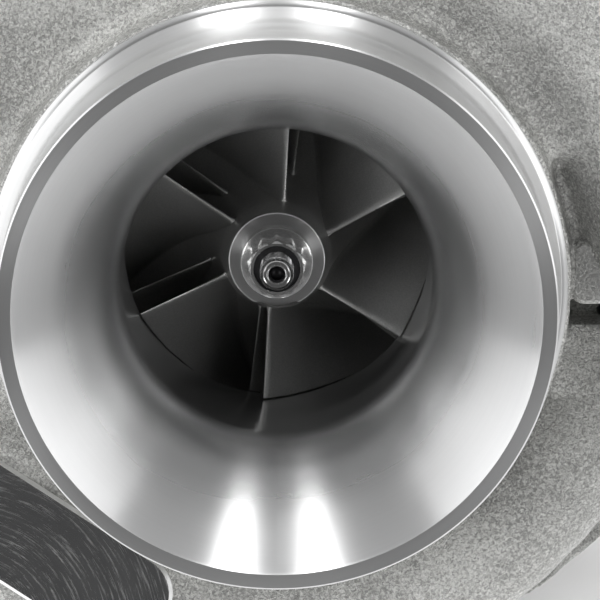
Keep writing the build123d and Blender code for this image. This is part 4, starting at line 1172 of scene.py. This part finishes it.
# ---------------------------------------------------------------- bearing housing
def bearing_housing():
    f = Field((-52, 95, -48), (52, 168, 46), 0.6)
    profile = [
        (-5, CENTRE_Y0 + 0.3),
        (48.7, CENTRE_Y0 + 0.3),
        (48.7, 104.0),
        (31.0, 106.0),
        (28.0, 112.0),
        (26.0, 132.0),
        (30.0, 146.0),
        (REAR_FLANGE_R - 4, REAR_FLANGE_Y0 + 0.3),
        (REAR_FLANGE_R - 0.3, REAR_FLANGE_Y0 + 0.3),
        (REAR_FLANGE_R - 0.3, REAR_FLANGE_Y1 - 0.3),
        (38.0, REAR_FLANGE_Y1 - 0.3),
        (20.0, 164.0),
        (14.0, 166.0),
        (-5, 166.0),
    ]
    solid = f.revolved(profile)
    solid = join(solid, f.rod((0, FEED_Y, 0), (0, FEED_Y, FEED_TOP), 13.0), 5.0)
    solid = join(solid, f.rod((0, DRAIN_Y, 0), (0, DRAIN_Y, DRAIN_FACE), 13.0), 4.0)
    foot = oblong_distance(f.x, f.y - DRAIN_Y, DRAIN_SPACING / 2 + 10, 13.0, 9.0)
    foot = np.maximum(foot, np.maximum(DRAIN_FACE - f.z, f.z - DRAIN_FACE - 10))
    solid = join(solid, foot.astype(np.float32), 3.0)
    for side in (-1, 1):
        solid = join(solid, f.block((side * 22, 128, 0), (16, 22, 3.0), 1.5), 5.0)
    solid = np.maximum(solid, -f.revolved(ring_corners(REAR_FLANGE_R - 0.2, 90, 90, 200)))
    hollows = [
        f.revolved(ring_corners(-5, POCKET_R, 90, 105.3)),
        f.revolved(ring_corners(-5, 16.0, 105.0, 109.5)),
        f.revolved(ring_corners(-5, BEARING_BORE, 109.0, 156.0)),
        np.maximum(f.revolved(ring_corners(-5, 19.0, 124.5, 140.5)), f.z - 3),
        f.revolved(ring_corners(-5, 12.0, 155.5, 160.0)),
        f.revolved(ring_corners(-5, 8.5, 159.0, 170.0)),
        f.rod((0, DRAIN_Y, -14), (0, DRAIN_Y, DRAIN_FACE - 2), DRAIN_R),
        f.rod((0, FEED_Y, FEED_TOP + 2), (0, FEED_Y, FEED_TOP - 13), 5.0),
        f.rod((0, FEED_Y, FEED_TOP - 12), (0, FEED_Y, 10), 2.5),
    ]
    for side in (-1, 1):
        x = side * DRAIN_SPACING / 2
        hollows.append(f.rod((x, DRAIN_Y, DRAIN_FACE - 2), (x, DRAIN_Y, DRAIN_FACE + 12), 3.4))
    solid = solid + f.waves(4.0, 0.2, 11) + f.waves(1.5, 0.07, 12)
    for hollow in hollows:
        solid = cut(solid, hollow, 0.7)
    shell = f.skin(solid)
    flatten(shell, 2, FEED_TOP, 0.35)
    flatten(shell, 2, DRAIN_FACE, 0.35)
    shell.material = machined_faces(shell, [(2, FEED_TOP), (2, DRAIN_FACE)])
    front = turned(
        rounded(
            [
                (POCKET_R, 104, 0),
                (POCKET_R, CENTRE_Y0 + 0.3, 0),
                (POCKET_R + 0.3, CENTRE_Y0, 0),
                (48.6, CENTRE_Y0, 0),
                (49.0, CENTRE_Y0 + 0.4, 0),
                (49.0, 103.3, 0.5),
                (44.0, 103.6, 0),
            ]
        ),
        2,
    )
    rear = turned(
        rounded(
            [
                (46.0, REAR_FLANGE_Y0, 0),
                (REAR_FLANGE_R - 0.5, REAR_FLANGE_Y0, 0),
                (REAR_FLANGE_R, REAR_FLANGE_Y0 + 0.5, 0),
                (REAR_FLANGE_R, REAR_FLANGE_Y1 - 0.4, 0),
                (REAR_FLANGE_R - 0.4, REAR_FLANGE_Y1, 0),
                (39.0, REAR_FLANGE_Y1, 0),
                (39.0, REAR_FLANGE_Y1 - 3, 0),
            ]
        ),
        2,
    )
    return make_piece(
        "bearing_housing_casting",
        [shell, front, rear],
        [IRON, MACHINED_IRON, TURNED_IRON],
        "casing",
        ["bearing_housing"],
        46.0,
    )


def flatten(shell, axis, level, reach):
    """Pulls corners that lie near a machined plane exactly on to it."""
    values = shell.points[:, axis]
    near = np.abs(values - level) < reach
    values[near] = level


def machined_faces(shell, planes, machined=1):
    """Material numbers for a casting: faces that lie on one of the (axis, level) planes are machined."""
    found = []
    for faces in (shell.quads, shell.tris):
        on = np.zeros(len(faces), bool)
        for axis, level in planes:
            if len(faces):
                on |= (np.abs(shell.points[faces][:, :, axis] - level) < 1e-6).all(1)
        found.append(np.where(on, machined, 0))
    return np.concatenate(found)


# ---------------------------------------------------------------- turbine housing
def turbine_housing():
    inlet_x, inlet_y = -(VOLUTE_IN + VOLUTE_BIG), VOLUTE_Y + 0.3 * (VOLUTE_BIG - VOLUTE_SMALL)
    f = Field((-122, 149, -94), (78, 244, 90), 0.75)
    turn = (f.clock - VOLUTE_START) % FULL_TURN
    part = np.clip(turn / VOLUTE_SWEEP, 0, 1)
    a = VOLUTE_BIG + (VOLUTE_SMALL - VOLUTE_BIG) * part
    from_middle = np.hypot(f.radius - VOLUTE_IN - a, f.y - (VOLUTE_Y + 0.3 * (a - VOLUTE_SMALL)))
    late = (turn > VOLUTE_SWEEP) & (turn < (VOLUTE_SWEEP + FULL_TURN) / 2)
    early = turn >= (VOLUTE_SWEEP + FULL_TURN) / 2
    past_end = np.where(late, f.radius * np.sin(np.radians(turn - VOLUTE_SWEEP)), -99)
    before_start = np.where(early, f.radius * np.sin(np.radians(FULL_TURN - turn)), -99)
    beyond = np.maximum(past_end, before_start)
    big = np.where(early, VOLUTE_BIG, a)
    from_first = np.hypot(f.radius - VOLUTE_IN - VOLUTE_BIG, f.y - inlet_y)
    from_middle = np.where(early, from_first, from_middle)
    body_profile = [
        (-5, REAR_FLANGE_Y0 + 0.4),
        (63.6, REAR_FLANGE_Y0 + 0.4),
        (63.6, 163.6),
        (55.0, 168.0),
        (55.0, 192.0),
        (46.0, 204.0),
        (43.0, 214.0),
        (43.0, 230.0),
        (45.0, 234.0),
        (46.0, 236.4),
        (46.0, OUTLET_Y - 0.6),
        (-5, OUTLET_Y - 0.6),
    ]
    solid = join(f.revolved(body_profile), np.maximum(from_middle - (big + VOLUTE_WALL), beyond), 5.0)
    solid = join(solid, duct(f, inlet_x, inlet_y, VOLUTE_WALL), 3.0)
    foot = oblong_distance(f.x - inlet_x, f.y - inlet_y, FOOT_HOLE_X / 2 + 14, FOOT_HOLE_Y / 2 + 13, 12.0)
    foot = np.maximum(foot, np.maximum(FOOT_Z - f.z, f.z - FOOT_Z - FOOT_THICK))
    solid = join(solid, foot.astype(np.float32), 4.0)
    for side in (-1, 1):
        solid = join(solid, f.block((inlet_x, inlet_y + side * 34, FOOT_Z + 22), (3.0, 10, 18), 1.5), 4.0)
    for clock in bolt_clocks(TURBINE_BOLTS):
        x, _, z = clock_point(clock, TURBINE_BOLT_R + 0.5, 0)
        boss = f.rod((x, REAR_FLANGE_Y0 + 0.5, z), (x, 172, z), 8.5, 7.5)
        solid = join(solid, boss, 3.0)
    solid = solid + f.waves(6.0, 0.3, 21) + f.waves(1.8, 0.09, 22)
    hollows = [
        np.maximum(from_middle - big, beyond),
        duct(f, inlet_x, inlet_y, 0.0),
        f.revolved(
            [
                (-5, 100),
                (REAR_FLANGE_R + 0.4, 100),
                (REAR_FLANGE_R + 0.4, REAR_FLANGE_Y1 + 0.3),
                (VOLUTE_IN + 3, REAR_FLANGE_Y1 + 1.4),
                (VOLUTE_IN + 3, 183.6),
                (TURBINE_R + 1.2, 184.0),
                (TURBINE_EXIT_R + 1.5, 196.0),
                (TURBINE_EXIT_R + 1.5, 204.0),
                (39.0, 233.0),
                (39.0, 260.0),
                (-5, 260.0),
            ]
        ),
    ]
    for dx in (-FOOT_HOLE_X / 2, FOOT_HOLE_X / 2):
        for dy in (-FOOT_HOLE_Y / 2, FOOT_HOLE_Y / 2):
            x, y = inlet_x + dx, inlet_y + dy
            hollows.append(f.rod((x, y, FOOT_Z - 2), (x, y, FOOT_Z + FOOT_THICK + 3), 5.5))
    for hollow in hollows:
        solid = cut(solid, hollow, 0.8)
    shell = f.skin(solid)
    flatten(shell, 2, FOOT_Z, 0.4)
    shell.material = machined_faces(shell, [(2, FOOT_Z)])
    return make_piece(
        "turbine_housing_casting",
        [shell] + turbine_turned_shells(),
        [HOT_IRON, MACHINED_IRON, TURNED_IRON],
        "casing",
        ["turbine_housing"],
        46.0,
    )


def bolt_clocks(count):
    step = FULL_TURN / count
    return [step / 2 + step * i for i in range(count)]


def duct(f, x, y, extra):
    """Distance to the inlet duct: round at shaft height, a rounded oblong at the foot."""
    rise = np.clip((f.z - FOOT_Z) / -FOOT_Z, 0, 1)
    rise = rise * rise * (3 - 2 * rise)
    half_x = PORT_X / 2 + (VOLUTE_BIG - PORT_X / 2) * rise + extra
    half_y = PORT_Y / 2 + (VOLUTE_BIG - PORT_Y / 2) * rise + extra
    corner = PORT_CORNER + (VOLUTE_BIG - PORT_CORNER) * rise + extra
    side = oblong_distance(f.x - x, f.y - y, half_x, half_y, corner)
    low = FOOT_Z - f.z if extra else FOOT_Z - 5 - f.z
    return np.maximum(side, np.maximum(low, f.z - 1)).astype(np.float32)


def turbine_turned_shells():
    """Machined faces of the turbine housing: joint face, wheel shroud and outlet flange."""
    joint = rounded(
        [
            (REAR_FLANGE_R + 0.15, REAR_FLANGE_Y1 + 0.05, 0),
            (REAR_FLANGE_R + 0.15, REAR_FLANGE_Y0 + 0.4, 0),
            (REAR_FLANGE_R + 0.55, REAR_FLANGE_Y0, 0),
            (63.4, REAR_FLANGE_Y0, 0),
            (64.0, REAR_FLANGE_Y0 + 0.6, 0),
            (64.0, 163.0, 0.6),
            (61.0, 164.0, 0),
            (52.0, REAR_FLANGE_Y1 + 2, 0),
            (47.0, REAR_FLANGE_Y1 + 2, 0),
            (47.0, REAR_FLANGE_Y1 + 0.05, 0),
        ]
    )
    gap_r, exit_r = TURBINE_R + 0.4, TURBINE_EXIT_R + 0.4
    shroud = quarter_ellipse((gap_r, TURBINE_TIP_Y1 + 0.4), (exit_r, TURBINE_EXIT_Y), False, 14)
    outlet = rounded(
        [
            (38.1, 234.0, 4.0),
            (38.1, OUTLET_Y - 0.5, 0),
            (38.6, OUTLET_Y, 0),
            (48.6, OUTLET_Y, 0.4),
            (49.0, OUTLET_Y - 2.0, 0.6),
            (47.0, 236.2, 0.8),
            (44.0, 234.0, 1.5),
            (41.0, 230.0, 0),
            (36.5, 206.0, 0),
            (46.0, 190.0, 0),
            (VOLUTE_IN + 2.9, TURBINE_TIP_Y1 + 0.4, 0),
        ]
    )
    return [turned(joint, 2), turned(shroud + outlet, 2)]


# ---------------------------------------------------------------- CAD pieces that keep their shape
def soften(node, material, width):
    """Gives a CAD node its material and slightly broken edges."""
    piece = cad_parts[node]
    piece.data.materials.clear()
    piece.data.materials.append(material)
    if width:
        bevel = piece.modifiers.new("broken_edges", "BEVEL")
        bevel.width = width * MM
        bevel.segments = 2
        bevel.limit_method = "ANGLE"
        bevel.angle_limit = radians(40)
        bevel.harden_normals = False
    return piece


KEPT_NODES = {
    "compressor_clamp_plates": (ZINC_STEEL, 0.25),
    "backplate": (PLATE_ALUMINIUM, 0),
    "backplate_o_ring": (RUBBER, 0),
    "backplate_screws": (DARK_STEEL, 0.12),
    "front_seal_ring": (GROUND_STEEL, 0),
    "oil_flinger": (GROUND_STEEL, 0.1),
    "oil_deflector": (ZINC_STEEL, 0.1),
    "thrust_washer": (GROUND_STEEL, 0.1),
    "thrust_bearing": (BRONZE, 0.1),
    "thrust_collar": (GROUND_STEEL, 0.1),
    "thrust_spacer": (GROUND_STEEL, 0.1),
    "locating_pins": (GROUND_STEEL, 0.1),
    "front_journal_bearing": (BRONZE, 0.1),
    "rear_journal_bearing": (BRONZE, 0.1),
    "journal_snap_rings": (DARK_STEEL, 0.08),
    "rear_seal_ring": (GROUND_STEEL, 0),
    "heat_shield": (ZINC_STEEL, 0.1),
    "turbine_clamp_plates": (DARK_STEEL, 0.25),
}


# ---------------------------------------------------------------- stage
ROOM_FRONT = 0.06
ROOM_ROUND = 0.62
ROOM_BELOW = 2.1


def stage_floor():
    """A pale floor that metal doesn't mirror, and that can be looked through from below."""
    size = 40.0
    level = FOOT_Z * MM - 0.0003
    mesh = bpy.data.meshes.new("floor")
    corners = [(-size, -size), (size, -size), (size, size), (-size, size)]
    mesh.from_pydata([(x, y, level) for x, y in corners], [], [(0, 1, 2, 3)])
    floor = bpy.data.objects.new("floor", mesh)
    bpy.context.scene.collection.objects.link(floor)
    f = Finish("floor", 0.0, 0.8)
    mesh.materials.append(f.finish(f.colour(f.noise(0.5), (0.86, 0.86, 0.86), (0.9, 0.9, 0.9)), None, None))
    below = f.add("ShaderNodeNewGeometry").outputs["Backfacing"]
    clear = f.add("ShaderNodeBsdfTransparent").outputs[0]
    either = f.add("ShaderNodeMixShader")
    f.link(below, either.inputs[0])
    f.link(f.shader.outputs[0], either.inputs[1])
    f.link(clear, either.inputs[2])
    f.link(either.outputs[0], f.tree.nodes["Material Output"].inputs["Surface"])
    floor.visible_glossy = False


def soft_box(name, place, target, width, height, power):
    """An area light at a place, facing a target."""
    light = bpy.data.lights.new(name, "AREA")
    light.shape = "RECTANGLE"
    light.size = width
    light.size_y = height
    light.energy = power
    lamp = bpy.data.objects.new(name, light)
    lamp.visible_camera = False
    lamp.location = place
    lamp.rotation_mode = "QUATERNION"
    lamp.rotation_quaternion = (Vector(target) - Vector(place)).to_track_quat("-Z", "Y")
    bpy.context.scene.collection.objects.link(lamp)
    return lamp


def studio_world():
    """A bright room that is dark towards the front, where the camera stands, and brighter below."""
    world = bpy.data.worlds.new("studio")
    world.use_nodes = True
    bpy.context.scene.world = world
    nodes, links = world.node_tree.nodes, world.node_tree.links
    place = nodes.new("ShaderNodeTexCoord")
    parts = nodes.new("ShaderNodeSeparateXYZ")
    links.new(place.outputs["Generated"], parts.inputs[0])

    def ramp(value, *numbers):
        node = nodes.new("ShaderNodeMapRange")
        node.interpolation_type = "SMOOTHSTEP"
        links.new(value, node.inputs["Value"])
        for key, number in zip(("From Min", "From Max", "To Min", "To Max"), numbers):
            node.inputs[key].default_value = number
        return node.outputs[0]

    behind = ramp(parts.outputs[1], -0.97, -0.45, ROOM_FRONT, ROOM_ROUND)
    above = ramp(parts.outputs[2], -0.6, 0.1, ROOM_BELOW, 1.0)
    both = nodes.new("ShaderNodeMath")
    both.operation = "MULTIPLY"
    links.new(behind, both.inputs[0])
    links.new(above, both.inputs[1])
    background = nodes["Background"]
    links.new(both.outputs[0], background.inputs["Strength"])
    background.inputs["Color"].default_value = (1.0, 1.0, 1.0, 1.0)


def camera():
    """The long lens that looks into the inlet from slightly above."""
    distance, elevation = 1.2, radians(12.3)
    data = bpy.data.cameras.new("camera")
    data.lens = 400.0
    data.sensor_width = 36.0
    data.shift_x = 0.0386
    data.shift_y = 0.0278
    data.clip_start, data.clip_end = 0.05, 200.0
    lens = bpy.data.objects.new("camera", data)
    back = Vector((0, -cos(elevation), sin(elevation)))
    lens.location = back * distance
    lens.rotation_mode = "QUATERNION"
    lens.rotation_quaternion = (-back).to_track_quat("-Z", "Y")
    bpy.context.scene.collection.objects.link(lens)
    bpy.context.scene.camera = lens


# ---------------------------------------------------------------- everything
camera()
stage_floor()
studio_world()
for side in (-1, 1):
    soft_box("strip", (side * 0.27, -0.25, 1.3), (side * 0.1, -0.25, 0), 1.2, 0.2, 6.0)
    soft_box("side", (side * 1.1, -0.5, 0.45), (0, -0.5, 0.3), 1.6, 1.1, 6.5)
    soft_box("front", (side * 0.8, -1.1, 0.08), (0, 0, 0), 0.35, 0.3, 1.3)

bpy.context.scene.view_settings.view_transform = "Standard"

compressor_housing()
compressor_wheel()
turbine_wheel()
compressor_nut()
shaft()
bolts(
    "compressor_clamp_bolts_hex",
    bolt_shell(FLANGE_Y1 + CLAMP_PLATE, -1, 3.0, 13.5, 10.0, 4.0),
    COMPRESSOR_BOLTS,
    COMPRESSOR_BOLT_R,
    ["compressor_clamp_bolts"],
)
bolts(
    "turbine_clamp_bolts_hex",
    bolt_shell(REAR_FLANGE_Y0 - CLAMP_PLATE, 1, 4.0, 15.0, 12.0, 5.0),
    TURBINE_BOLTS,
    TURBINE_BOLT_R,
    ["turbine_clamp_bolts"],
)
bearing_housing()
turbine_housing()
for node, (material, width) in KEPT_NODES.items():
    soften(node, material, width)
